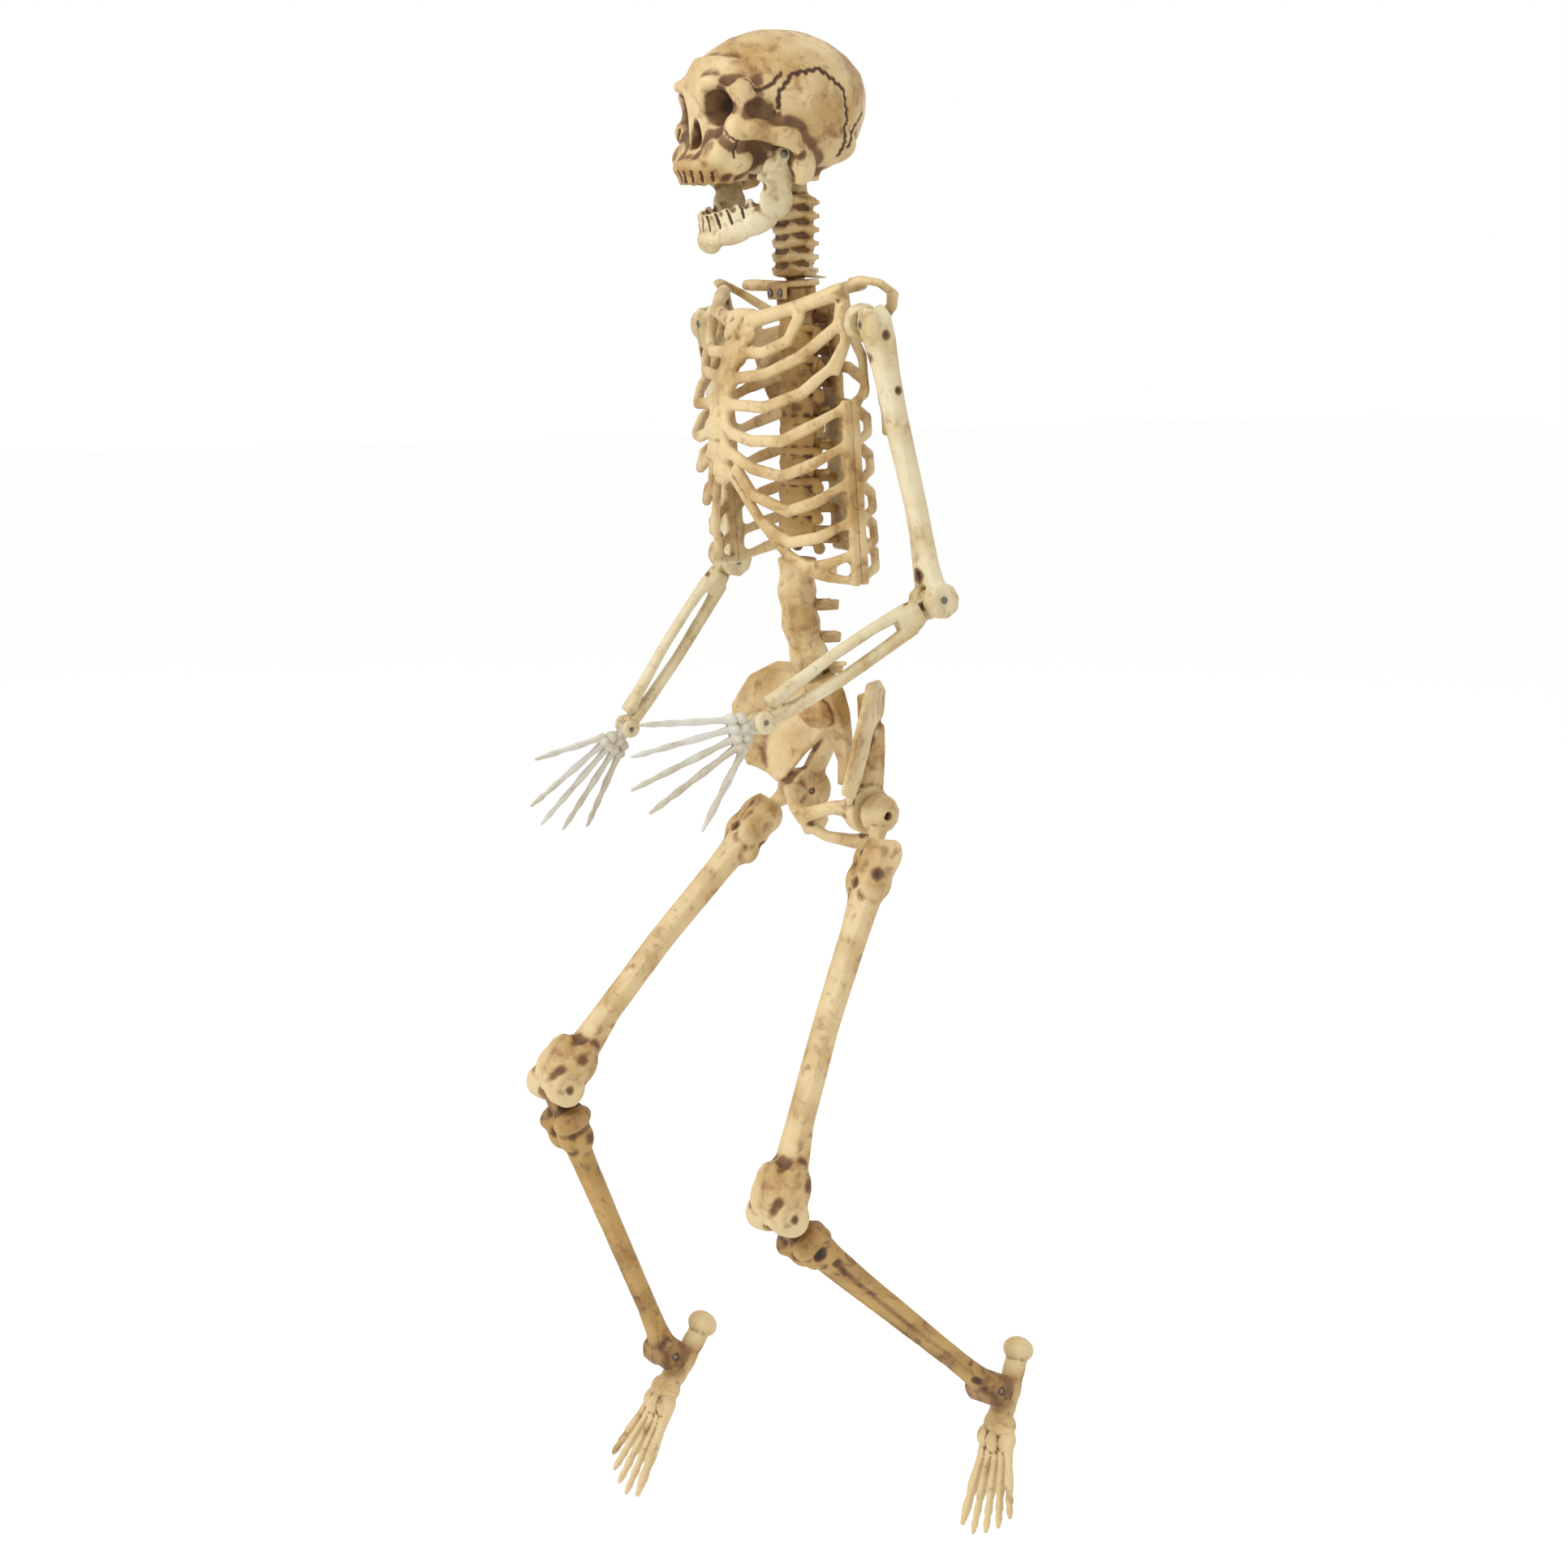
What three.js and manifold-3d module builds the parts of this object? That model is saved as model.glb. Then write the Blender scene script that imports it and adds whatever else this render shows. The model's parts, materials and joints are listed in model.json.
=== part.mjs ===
// A posable hanging skeleton, moulded in bone-coloured plastic and held together with
// screws and nuts: torso, neck, skull, swinging jaw, two arms and two legs.
// Millimetres and degrees. +Z is up, the figure faces -Y and its left side is +X.
// The origin is where the neck stands on the collar, which is where a hanging line holds it.
import * as THREE from 'three';
import { mergeVertices } from 'three/addons/utils/BufferGeometryUtils.js';
import Module from 'manifold-3d';

const wasm = await Module();
wasm.setup();

// ---------------------------------------------------------------- driving dimensions

// Clearances.
const restGap = 0.3;        // between two mouldings that rest on each other
const hingeGap = 0.6;       // on each side of a hinge tongue
const boreGap = 0.7;        // round a screw shank

// Screws and nuts: M5 in the big joints, M4 in the small ones.
const bigScrew = { shank: 2.5, head: 4.6, thick: 3 };
const smallScrew = { shank: 1.8, head: 3.6, thick: 2 };

// Torso.
const neckStem = { radius: 8, depth: 16 };
const collar = { radius: 19, height: 20 };
const thorax = { halfWidth: 120, sideY: -20, backY: 32, top: -24, bottom: -262 };
const rib = { halfHeight: 5.5, halfThick: 3.2 };
const sideBar = { top: -108, bottom: -280, depth: 8, width: 7 };
const column = { radius: 20, vertebra: 29 };
const pelvis = { wall: 4, crestTop: -385 };

// Joint centres on the torso.
const shoulder = { x: 135, y: -11.5, z: -38.3, ball: 18, strapX: 112 };
const hip = { x: 80, y: 9.5, z: -514, ball: 20, face: 14 };

// Head.
const neckHeight = 76;
const atlas = { y: 3.3, z: 100.5 };
const cranium = { halfWidth: 66, halfLength: 89, halfHeight: 70, y: -20, z: 163, wall: 3.5 };
const jawHinge = { x: 50, y: -44, z: 113 };
const toothCount = 10;

// Limbs: lengths run from joint centre to joint centre.
const arm = { pivotOut: 20, upper: 258, fore: 211, head: 16, shaft: 11, elbow: 16, wrist: 9.5 };
const leg = { neckOut: 21, neckDrop: 42, thigh: 355, shin: 324, shaft: 14, knee: 22, ankle: 17 };
const hand = { palm: 34, knuckle: 4.2, shaft: 2.7 };
const foot = { toe: 140, heel: 46, knuckle: 5, shaft: 3.4 };

// The stored pose: how far each joint is turned from standing straight.
const pose = {
  lean: 4.4,
  jaw: 24,
  left: { swing: 4.8, raise: 9.2, elbow: 72, wrist: -14, hipSwing: 29, hipRaise: 10, knee: 71, ankle: 18 },
  right: { swing: 7.6, raise: 12.8, elbow: 42, wrist: -6, hipSwing: 51, hipRaise: -6, knee: 67, ankle: 31 },
};

// ---------------------------------------------------------------- materials

const bone = { roughness: 0.55, metalness: 0 };
const finish = {
  boneTan: new THREE.MeshStandardMaterial({ color: '#cdb07c', ...bone }),
  bonePale: new THREE.MeshStandardMaterial({ color: '#ddd0ae', ...bone }),
  boneBrown: new THREE.MeshStandardMaterial({ color: '#bf9f6a', ...bone }),
  zincSteel: new THREE.MeshStandardMaterial({ color: '#8c8c8a', roughness: 0.35, metalness: 1 }),
};

// ---------------------------------------------------------------- solids

const axisX = new THREE.Vector3(1, 0, 0);
const axisY = new THREE.Vector3(0, 1, 0);
const axisZ = new THREE.Vector3(0, 0, 1);
const radians = THREE.MathUtils.degToRad;

// Makes a manifold solid of indexed triangles, turned outwards if they were inside out.
function solidOf(positions, triangles) {
  let volume = 0;
  const a = new THREE.Vector3();
  const b = new THREE.Vector3();
  const c = new THREE.Vector3();
  for (let i = 0; i < triangles.length; i += 3) {
    a.fromArray(positions, 3 * triangles[i]);
    b.fromArray(positions, 3 * triangles[i + 1]);
    c.fromArray(positions, 3 * triangles[i + 2]);
    volume += a.dot(b.cross(c));
  }
  const outward = [];
  for (let i = 0; i < triangles.length; i += 3) {
    const [p, q, r] = [triangles[i], triangles[i + 1], triangles[i + 2]];
    if (p === q || q === r || r === p) continue;
    outward.push(...(volume < 0 ? [p, r, q] : [p, q, r]));
  }
  const mesh = new wasm.Mesh({
    numProp: 3,
    vertProperties: Float32Array.from(positions),
    triVerts: Uint32Array.from(outward),
  });
  return new wasm.Manifold(mesh);
}

function solid(geometry) {
  const bare = geometry.clone();
  bare.deleteAttribute('normal');
  bare.deleteAttribute('uv');
  const merged = mergeVertices(bare, 1e-4);
  return solidOf(merged.attributes.position.array, merged.index.array);
}

function join(...solids) {
  return solids.flat().reduce((whole, next) => whole.add(next));
}

function cut(body, ...tools) {
  return tools.flat().reduce((rest, tool) => rest.subtract(tool), body);
}

// A closed bar of oval section through stations [x, y, z, half width, half depth]; the half
// width lies along the direction `across`.
function limb(stations, { across = axisX, sides = 6, ends = 'flat' } = {}) {
  const centres = stations.map((s) => new THREE.Vector3(s[0], s[1], s[2]));
  const halves = stations.map((s) => new THREE.Vector3(s[3], s[4] ?? s[3], 0));
  const path = new THREE.CatmullRomCurve3(centres, false, 'centripetal');
  const size = new THREE.CatmullRomCurve3(halves, false, 'catmullrom', 0.4);
  const count = stations.length - 1;
  const rings = [];
  for (let i = 0; i <= count; i += 1) {
    const t = i / count;
    rings.push({ at: path.getPoint(t), along: path.getTangent(t), half: size.getPoint(t) });
  }
  const first = rings[0];
  const last = rings[count];
  const roundness = ends === 'round' ? 0.45 : 0;
  const tip = (ring, sign) => {
    const reach = sign * roundness * Math.min(ring.half.x, ring.half.y);
    return ring.at.clone().addScaledVector(ring.along, reach);
  };
  const positions = [];
  rings.forEach((ring) => {
    const a = across.clone().addScaledVector(ring.along, -across.dot(ring.along)).normalize();
    const b = ring.along.clone().cross(a);
    for (let k = 0; k < sides; k += 1) {
      const angle = (2 * Math.PI * (k + 0.5)) / sides;
      const point = ring.at.clone();
      point.addScaledVector(a, ring.half.x * Math.cos(angle));
      point.addScaledVector(b, ring.half.y * Math.sin(angle));
      positions.push(...point.toArray());
    }
  });
  const startTip = positions.length / 3;
  positions.push(...tip(first, -1).toArray());
  positions.push(...tip(last, 1).toArray());
  const triangles = [];
  const lastRing = (rings.length - 1) * sides;
  for (let k = 0; k < sides; k += 1) {
    const next = (k + 1) % sides;
    for (let row = 0; row < lastRing; row += sides) {
      triangles.push(row + k, row + next, row + sides + next);
      triangles.push(row + k, row + sides + next, row + sides + k);
    }
    triangles.push(startTip, next, k);
    triangles.push(startTip + 1, lastRing + k, lastRing + next);
  }
  return solidOf(positions, triangles);
}

// A curved plate of even thickness about the middle surface point(u, v), u and v from 0 to 1.
function plate(point, thickness, columns, rows) {
  const small = 0.001;
  const positions = [];
  for (const side of [0.5, -0.5]) {
    for (let i = 0; i <= columns; i += 1) {
      for (let j = 0; j <= rows; j += 1) {
        const u = THREE.MathUtils.clamp(i / columns, small, 1 - small);
        const v = THREE.MathUtils.clamp(j / rows, small, 1 - small);
        const alongU = point(u + small, v).sub(point(u - small, v));
        const alongV = point(u, v + small).sub(point(u, v - small));
        const normal = alongU.cross(alongV).normalize();
        const at = point(i / columns, j / rows).addScaledVector(normal, side * thickness);
        positions.push(...at.toArray());
      }
    }
  }
  const back = (columns + 1) * (rows + 1);
  const id = (i, j) => i * (rows + 1) + j;
  const triangles = [];
  const quad = (a, b, c, d) => triangles.push(a, b, c, a, c, d);
  for (let i = 0; i < columns; i += 1) {
    for (let j = 0; j < rows; j += 1) {
      quad(id(i, j), id(i + 1, j), id(i + 1, j + 1), id(i, j + 1));
      quad(back + id(i, j), back + id(i, j + 1), back + id(i + 1, j + 1), back + id(i + 1, j));
    }
    quad(id(i, 0), back + id(i, 0), back + id(i + 1, 0), id(i + 1, 0));
    quad(id(i, rows), id(i + 1, rows), back + id(i + 1, rows), back + id(i, rows));
  }
  for (let j = 0; j < rows; j += 1) {
    quad(id(0, j), id(0, j + 1), back + id(0, j + 1), back + id(0, j));
    quad(id(columns, j), back + id(columns, j), back + id(columns, j + 1), id(columns, j + 1));
  }
  return solidOf(positions, triangles);
}

function ball([x, y, z], [rx, ry, rz], around = 7, down = 5) {
  const geometry = new THREE.SphereGeometry(1, around, down);
  geometry.rotateX(Math.PI / 2);
  geometry.scale(rx, ry, rz);
  geometry.translate(x, y, z);
  return solid(geometry);
}

function block([x, y, z], [width, depth, height]) {
  const geometry = new THREE.BoxGeometry(width, depth, height);
  geometry.translate(x, y, z);
  return solid(geometry);
}

// Turns the lathe's own axis on to an axis of the figure and moves it to a point.
function onAxis(geometry, axis, [x, y, z]) {
  const turn = new THREE.Quaternion().setFromUnitVectors(axisY, axis);
  geometry.applyQuaternion(turn);
  geometry.translate(x, y, z);
  return solid(geometry);
}

function rod(axis, at, radius, length, sides = 6) {
  return onAxis(new THREE.CylinderGeometry(radius, radius, length, sides), axis, at);
}

// A flat turned disc on an axis, from `from` to `to` along it.
function boss(axis, at, radius, from, to, sides = 8) {
  const outline = [[0, from], [radius, from], [radius, to], [0, to]];
  return onAxis(new THREE.LatheGeometry(outline.map((p) => new THREE.Vector2(...p)), sides), axis, at);
}

// The space a hinge tongue sweeps: a hub and a neck of half width `half` that turns between two
// angles, measured from straight down. The hinge axis is X (angles towards +Y) or Y (towards +X).
function sweep(axis, [x, y, z], { width, hub, half, reach, from, to }) {
  const shape = new THREE.Shape();
  const point = (angle, side, out) => {
    const t = radians(angle);
    return [side * Math.cos(t) + out * Math.sin(t), side * Math.sin(t) - out * Math.cos(t)];
  };
  shape.moveTo(...point(from, -half, 0));
  shape.lineTo(...point(from, -half, reach));
  const turns = Math.max(1, Math.ceil((to - from) / 30));
  for (let i = 0; i <= turns; i += 1) {
    shape.lineTo(...point(from + ((to - from) * i) / turns, 0, reach * 1.1));
  }
  shape.lineTo(...point(to, half, reach));
  shape.lineTo(...point(to, half, 0));
  const geometry = new THREE.ExtrudeGeometry(shape, { depth: width, bevelEnabled: false });
  geometry.translate(0, 0, -width / 2);
  const basis = new THREE.Matrix4();
  if (axis === axisX) basis.makeBasis(axisY, axisZ, axisX);
  else basis.makeBasis(axisX, axisZ, axisY.clone().negate());
  geometry.applyMatrix4(basis);
  geometry.translate(x, y, z);
  return join(solid(geometry), rod(axis, [x, y, z], hub, width, 12));
}

// A screw with its nut, made tight on a grip length: six-sided, centred on `at`.
function screw(axis, at, size, grip) {
  const head = grip / 2 + size.thick;
  const outline = [
    [0, -head],
    [size.head, -head],
    [size.head, -grip / 2],
    [size.shank, -grip / 2],
    [size.shank, grip / 2],
    [size.head, grip / 2],
    [size.head, head],
    [0, head],
  ];
  return onAxis(new THREE.LatheGeometry(outline.map((p) => new THREE.Vector2(...p)), 6), axis, at);
}

// A screw whose head seats at `at`, with its shank running along the axis from there.
function shortScrew(axis, at, size, length) {
  const outline = [
    [0, -size.thick],
    [size.head, -size.thick],
    [size.head, 0],
    [size.shank, 0],
    [size.shank, length],
    [0, length],
  ];
  return onAxis(new THREE.LatheGeometry(outline.map((p) => new THREE.Vector2(...p)), 6), axis, at);
}

// The bore for a screw, and the round recesses that its head and nut sit in.
function screwBore(axis, [x, y, z], size, grip, deep = 12) {
  const recess = (sign) => {
    const centre = new THREE.Vector3(x, y, z).addScaledVector(axis, sign * (grip / 2 - restGap + deep / 2));
    return rod(axis, centre.toArray(), size.head + boreGap, deep);
  };
  return join(rod(axis, [x, y, z], size.shank + boreGap, grip + 2), recess(1), recess(-1));
}

// The part of a solid on the side of a seam plane that `direction` points to, which leaves
// the seam gap open.
function halfOf(body, direction, seam = [0, 0, 0]) {
  const big = 4000;
  const centre = new THREE.Vector3(...seam).addScaledVector(direction, (restGap - big) / 2);
  return cut(body, block(centre.toArray(), [big, big, big]));
}

// ---------------------------------------------------------------- scene graph

const figure = new THREE.Group();

function piece(group, name, body, material) {
  const { vertProperties, triVerts } = body.getMesh();
  const geometry = new THREE.BufferGeometry();
  geometry.setAttribute('position', new THREE.BufferAttribute(vertProperties, 3));
  geometry.setIndex(new THREE.BufferAttribute(triVerts, 1));
  geometry.computeVertexNormals();
  const mesh = new THREE.Mesh(geometry, material);
  mesh.name = name;
  group.add(mesh);
}

function joint(parent, name, [x, y, z], axis, angle) {
  const group = new THREE.Group();
  group.name = name;
  group.position.set(x, y, z);
  group.setRotationFromAxisAngle(axis, radians(angle));
  group.userData.axis = axis;
  parent.add(group);
  return group;
}

const torso = joint(figure, 'torso', [0, 0, 0], axisX, pose.lean);
const bothSides = [['left', 1], ['right', -1]];

// ---------------------------------------------------------------- torso

// Depth of the rib cage in front of its sides, and its half width, by height.
function between(z, table) {
  const last = table.length - 1;
  if (z >= table[0][0]) return table[0][1];
  if (z <= table[last][0]) return table[last][1];
  const i = table.findIndex(([level]) => z >= level);
  const [highZ, high] = table[i - 1];
  const [lowZ, low] = table[i];
  return low + ((high - low) * (z - lowZ)) / (highZ - lowZ);
}

const chestDepth = [[0, 28], [-30, 38], [-60, 52], [-110, 70], [-150, 75], [-230, 62], [-280, 47]];
const chestNarrowing = [[0, 14], [-40, 13], [-110, 1], [-200, 0], [-280, 1]];

function onChest(x, z) {
  const halfWidth = thorax.halfWidth - between(z, chestNarrowing);
  const share = Math.min(Math.abs(x) / halfWidth, 1);
  return thorax.sideY - between(z, chestDepth) * Math.sqrt(1 - share ** 2.3);
}

function onBack(x, z) {
  const halfWidth = thorax.halfWidth - between(z, chestNarrowing);
  const share = Math.min(Math.abs(x) / halfWidth, 1);
  return thorax.sideY + (thorax.backY - thorax.sideY) * Math.sqrt(1 - share ** 2.6);
}

// A bar that follows the front of the chest through points [x, z].
function chestBar(side, points, tall = rib.halfHeight, thick = rib.halfThick) {
  const stations = points.map(([x, z]) => [side * x, onChest(x, z), z, tall, thick]);
  return limb(stations, { across: axisZ, sides: 4 });
}

const sideBarX = thorax.halfWidth - 1;
const frontRibs = [
  [[12, -62], [50, -62], [76, -52], [82, -28]],
  [[10, -86], [60, -81], [92, -66], [108, -40], [112, -22]],
  [[10, -109], [66, -111], [98, -99], [111, -78], [112, -60]],
  [[14, -134], [50, -142], [84, -142], [108, -128], [sideBarX, -113]],
  [[10, -150], [48, -168], [80, -175], [106, -164], [sideBarX, -149]],
  [[22, -167], [40, -193], [80, -208], [106, -199], [sideBarX, -184]],
  [[46, -219], [75, -238], [103, -233], [sideBarX, -220]],
  [[66, -250], [88, -262], [106, -259], [sideBarX, -250]],
];
const costalArch = [[6, -166], [25, -190], [42, -215], [58, -235], [72, -254], [88, -266], [104, -271], [sideBarX, -278]];

function sternum() {
  const stations = [
    [0, -57, -24, 20, 5],
    [0, -63, -44, 24, 5],
    [0, -73, -64, 17, 5],
    [0, -82, -84, 13, 4.5],
    [0, -90, -108, 16, 4.5],
    [0, -95, -134, 18, 4.5],
    [0, -95, -152, 15, 4],
    [0, -93, -172, 6, 3.5],
  ];
  return limb(stations);
}

function clavicle(side) {
  const stations = [
    [side * 14, -60, -33, 8, 6],
    [side * 32, -60, -31, 6.5, 5],
    [side * 70, -50, -24, 5.5, 4.5],
    [side * 98, -30, -15, 6, 5],
    [side * 113, -16, -8, 7, 6],
  ];
  return limb(stations, { across: axisZ });
}

// The strap that hangs from the end of the clavicle carries the shoulder's axle.
function shoulderStrap(side) {
  const { y, z, strapX } = shoulder;
  const stations = [
    [side * (strapX + 1), -15, -10, 3, 5],
    [side * strapX, y - 2, z + 8, 3, 6],
    [side * strapX, y - 3, z - 12, 3, 6],
    [side * strapX, -20, -66, 4, 4.5],
    [side * strapX, -30, -84, 4, 4],
  ];
  const strap = limb(stations);
  const axle = new THREE.Vector3(side * strapX, y, z).toArray();
  return join(strap, boss(axisX, axle, 11, -3.5, 3.5, 12));
}

// An axle screw between two faces, with the middle that it is centred on.
function axleBetween(inner, outer) {
  return { middle: (inner + outer) / 2, grip: outer - inner };
}

const shoulderAxle = axleBetween(shoulder.strapX - 3.5, shoulder.x - 2);

function ribCageFront() {
  const solids = [sternum()];
  for (const [, side] of bothSides) {
    solids.push(clavicle(side), shoulderStrap(side));
    frontRibs.forEach((points) => solids.push(chestBar(side, points)));
    solids.push(chestBar(side, costalArch, 4.5, 3));
    const middle = (sideBar.top + sideBar.bottom) / 2;
    const front = thorax.sideY - restGap / 2 - sideBar.depth / 2;
    const height = sideBar.top - sideBar.bottom;
    solids.push(block([side * sideBarX, front, middle], [sideBar.width, sideBar.depth, height]));
  }
  const axleBore = rod(axisX, [0, shoulder.y, shoulder.z], bigScrew.shank + boreGap, 400);
  const behindSeam = block([0, 500 + thorax.sideY - restGap / 2, -600 - 95], [400, 1000, 1200]);
  return cut(join(solids), axleBore, behindSeam);
}

function ribCageRear() {
  const { backY, sideY } = thorax;
  const solids = [block([0, backY + 3, (thorax.top + thorax.bottom) / 2], [26, 6, thorax.top - thorax.bottom])];
  const sideZ = [-113, -149, -184, -220, -250, -276];
  for (const [, side] of bothSides) {
    sideZ.forEach((z) => {
      const rise = 30;
      const points = [[8, 1], [40, 0.95], [80, 0.62], [108, 0.28], [sideBarX, 0]];
      const stations = points.map(([x, share]) => {
        const level = z + rise * share;
        return [side * x, onBack(x, level) + (x < 10 ? 1 : 0), level, rib.halfHeight, rib.halfThick];
      });
      solids.push(limb(stations, { across: axisZ, sides: 4 }));
    });
    const middle = (sideBar.top + sideBar.bottom) / 2;
    const behind = sideY + restGap / 2 + sideBar.depth / 2;
    const height = sideBar.top - sideBar.bottom;
    solids.push(block([side * sideBarX, behind, middle], [sideBar.width, sideBar.depth, height]));
    const upper = [[8, -46], [50, -52], [86, -72], [104, -100], [sideBarX - 1, -114]];
    const stations = upper.map(([x, z]) => [side * x, onBack(x, z), z, rib.halfHeight, rib.halfThick]);
    solids.push(limb(stations, { across: axisZ, sides: 4 }));
    const yoke = [
      [side * 8, backY + 2, -30, 5, 4],
      [side * 40, backY - 4, -10, 5, 4],
      [side * 84, 22, -6, 4.5, 4],
      [side * 112, 6, -4, 4.5, 4],
    ];
    solids.push(limb(yoke, { across: axisZ }));
  }
  const front = block([0, sideY + restGap / 2 - 500, -600], [400, 1000, 1200]);
  return cut(join(solids), front);
}

// One vertebra after another down a curve [z, y]: a rim, a waist and a rim each, with side
// processes and a spinous process behind.
function vertebrae(curve, count, radius, processes) {
  const spine = new THREE.CatmullRomCurve3(curve.map(([z, y]) => new THREE.Vector3(0, y, z)));
  const stations = [];
  const solids = [];
  for (let i = 0; i < count; i += 1) {
    const at = (share) => spine.getPointAt((i + share) / count);
    for (const [share, scale] of [[0.08, 1], [0.55, 0.84]]) {
      const p = at(share);
      stations.push([p.x, p.y, p.z, radius * scale, radius * scale * 0.92]);
    }
    const { y, z } = at(0.5);
    const { wide, back, tall, lift } = processes;
    const behind = y + radius * 0.8;
    solids.push(limb([
      [-wide, behind + 6, z + lift, 3, 3],
      [0, behind - 2, z, 5, 4],
      [wide, behind + 6, z + lift, 3, 3],
    ], { across: axisZ, sides: 4 }));
    solids.push(limb([
      [0, y, z, tall, 3.5],
      [0, back, z - 6, tall * 0.8, 3],
    ], { across: axisZ, sides: 4 }));
  }
  return join(limb(stations, { sides: 8 }), solids);
}

function thoracicSpine() {
  const curve = [[-18, 0], [-90, -4], [-150, -8], [thorax.bottom, -18]];
  const processes = { wide: 22, back: thorax.backY - restGap, tall: 7, lift: 3 };
  const stack = vertebrae(curve, 8, column.radius, processes);
  const cup = boss(axisZ, [0, 0, 0], collar.radius, -collar.height - 8, -6, 16);
  const stem = rod(axisZ, [0, 0, -neckStem.depth / 2], neckStem.radius + 0.6, neckStem.depth + 2, 16);
  const behind = block([0, thorax.backY - restGap + 50, -150], [200, 100, 400]);
  return cut(join(stack, cup), stem, behind, collarScrewBores(), spineScrewBore());
}

// The collar is a plate that closes over the foot of the neck, held by two screws in front.
const collarScrews = bothSides.map(([name, side]) => ({ name, at: [side * 9, -collar.radius, -10] }));

function collarScrewBores() {
  return collarScrews.map(({ at: [x, y, z] }) => rod(axisY, [x, y + 4, z], smallScrew.shank + boreGap, 20));
}

function collarBand() {
  const { radius } = collar;
  const outer = boss(axisZ, [0, 0, 0], radius + 4, -5.6, -restGap, 20);
  const tab = block([0, -radius - 1.5, -9], [34, 4, 15]);
  const stem = rod(axisZ, [0, 0, 0], neckStem.radius + 0.6, 30, 16);
  return cut(join(outer, tab), stem, block([0, 0, -16], [60, 2 * radius + 0.6, 20]), collarScrewBores());
}

const spineJoint = { y: -18, z: thorax.bottom };

function spineScrewBore() {
  return screwBore(axisY, [0, spineJoint.y, spineJoint.z + 14], smallScrew, 30, 16);
}

function lumbarSpine() {
  const curve = [[thorax.bottom - restGap, spineJoint.y], [-307, -21], [-345, -16], [-392, -4]];
  const stack = vertebrae(curve, 4, column.radius + 1, { wide: 26, back: 26, tall: 9, lift: 4 });
  const sacrum = limb([
    [0, -3, -386, 23, 17],
    [0, 3, -402, 30, 17],
    [0, 10, -424, 29, 14],
    [0, 18, -450, 20, 9],
    [0, 22, -478, 11, 6],
    [0, 16, -500, 5, 4],
  ]);
  const promontory = ball([0, -6, -418], [22, 20, 20]);
  return cut(join(stack, sacrum, promontory), sacrumBores());
}

// The sacrum's wings are screwed sideways into the backs of the two hip bones.
const sacroiliac = { x: 31, y: 20, z: -420 };

function sacrumBores() {
  return bothSides.map(([, side]) => {
    const at = [side * sacroiliac.x, sacroiliac.y, sacroiliac.z];
    return rod(axisX, at, smallScrew.shank + boreGap, 22);
  });
}

function surfaceFrom(outer, inner, bulge) {
  const rim = new THREE.CatmullRomCurve3(outer.map((p) => new THREE.Vector3(...p)), false, 'centripetal');
  const root = new THREE.CatmullRomCurve3(inner.map((p) => new THREE.Vector3(...p)), false, 'centripetal');
  return (u, v) => {
    const point = root.getPoint(u).lerp(rim.getPoint(u), v);
    const swell = Math.sin(Math.PI * v) * Math.sin(Math.PI * (0.15 + 0.7 * u));
    return point.addScaledVector(bulge, swell);
  };
}

// The wing of the hip bone fans out from the socket to the crest.
function iliacWing(side) {
  const { crestTop } = pelvis;
  const crest = [
    [44, 44, crestTop - 18],
    [62, 28, crestTop - 4],
    [88, 2, crestTop],
    [110, -18, crestTop - 14],
    [119, -35, crestTop - 42],
    [110, -39, crestTop - 72],
    [92, -36, crestTop - 99],
  ];
  const root = [
    [34, 32, -446],
    [38, 18, -456],
    [44, 6, -468],
    [50, -4, -480],
    [56, -10, -490],
    [62, -14, -497],
    [70, -18, -502],
  ];
  const mirror = (points) => points.map(([x, y, z]) => [side * x, y, z]);
  const bulge = new THREE.Vector3(side * 7, 9, 0);
  const surface = surfaceFrom(mirror(crest), mirror(root), bulge);
  const rim = mirror(crest).map(([x, y, z]) => [x, y, z, 3.4, 3.4]);
  return join(plate(surface, pelvis.wall, 5, 2), limb(rim, { across: axisZ, sides: 4 }));
}

const socketDepth = 16;
const hipAxle = axleBetween(hip.x - hip.face - hingeGap - socketDepth + 4, hip.x + 7);

function hipBone(side) {
  const { x, y, z, ball: radius, face } = hip;
  const bar = (points, options) => {
    const stations = points.map(([px, ...rest]) => [side * px, ...rest]);
    return limb(stations, { across: axisZ, ...options });
  };
  const inner = x - face - hingeGap - socketDepth;
  const outer = x - face - hingeGap;
  const low = z + 2;
  const socket = boss(axisX, [0, y, z], radius + 3, ...(side > 0 ? [inner, outer] : [-outer, -inner]), 16);
  const solids = [
    iliacWing(side),
    socket,
    bar([[36, 34, -436, 14, 7], [44, 30, -462, 11, 9], [inner + 6, 18, -492, 12, 9]], { across: axisY }),
    bar([[33, 28, -404, 7, 9], [36, 30, -424, 10, 9], [40, 30, -446, 9, 9]], { across: axisY }),
    bar([[inner + 6, -2, low, 10, 8], [40, -20, low + 2, 6.5, 6], [16, -30, low - 6, 7, 5.5], [-1, -31, low - 12, 10, 6]]),
    bar([[-1, -29, low - 18, 7, 5], [18, -16, low - 32, 5, 4.5], [38, 6, low - 38, 7, 8], [50, 16, low - 34, 8, 10],
      [inner + 7, 16, low - 12, 9, 9]]),
  ];
  const sacrumSide = block([0, 50, -440], [2 * (sacroiliac.x + restGap), 120, 112]);
  const screwHole = rod(axisX, [side * (sacroiliac.x + 10), sacroiliac.y, sacroiliac.z], smallScrew.shank + boreGap, 40);
  const axle = screwBore(axisX, [side * hipAxle.middle, y, z], bigScrew, hipAxle.grip, 8);
  const pubisHole = rod(axisX, [0, -30, low - 15], smallScrew.shank + boreGap, 40);
  const whole = cut(join(solids), sacrumSide, screwHole, axle, pubisHole);
  return halfOf(whole, new THREE.Vector3(side, 0, 0));
}

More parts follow.
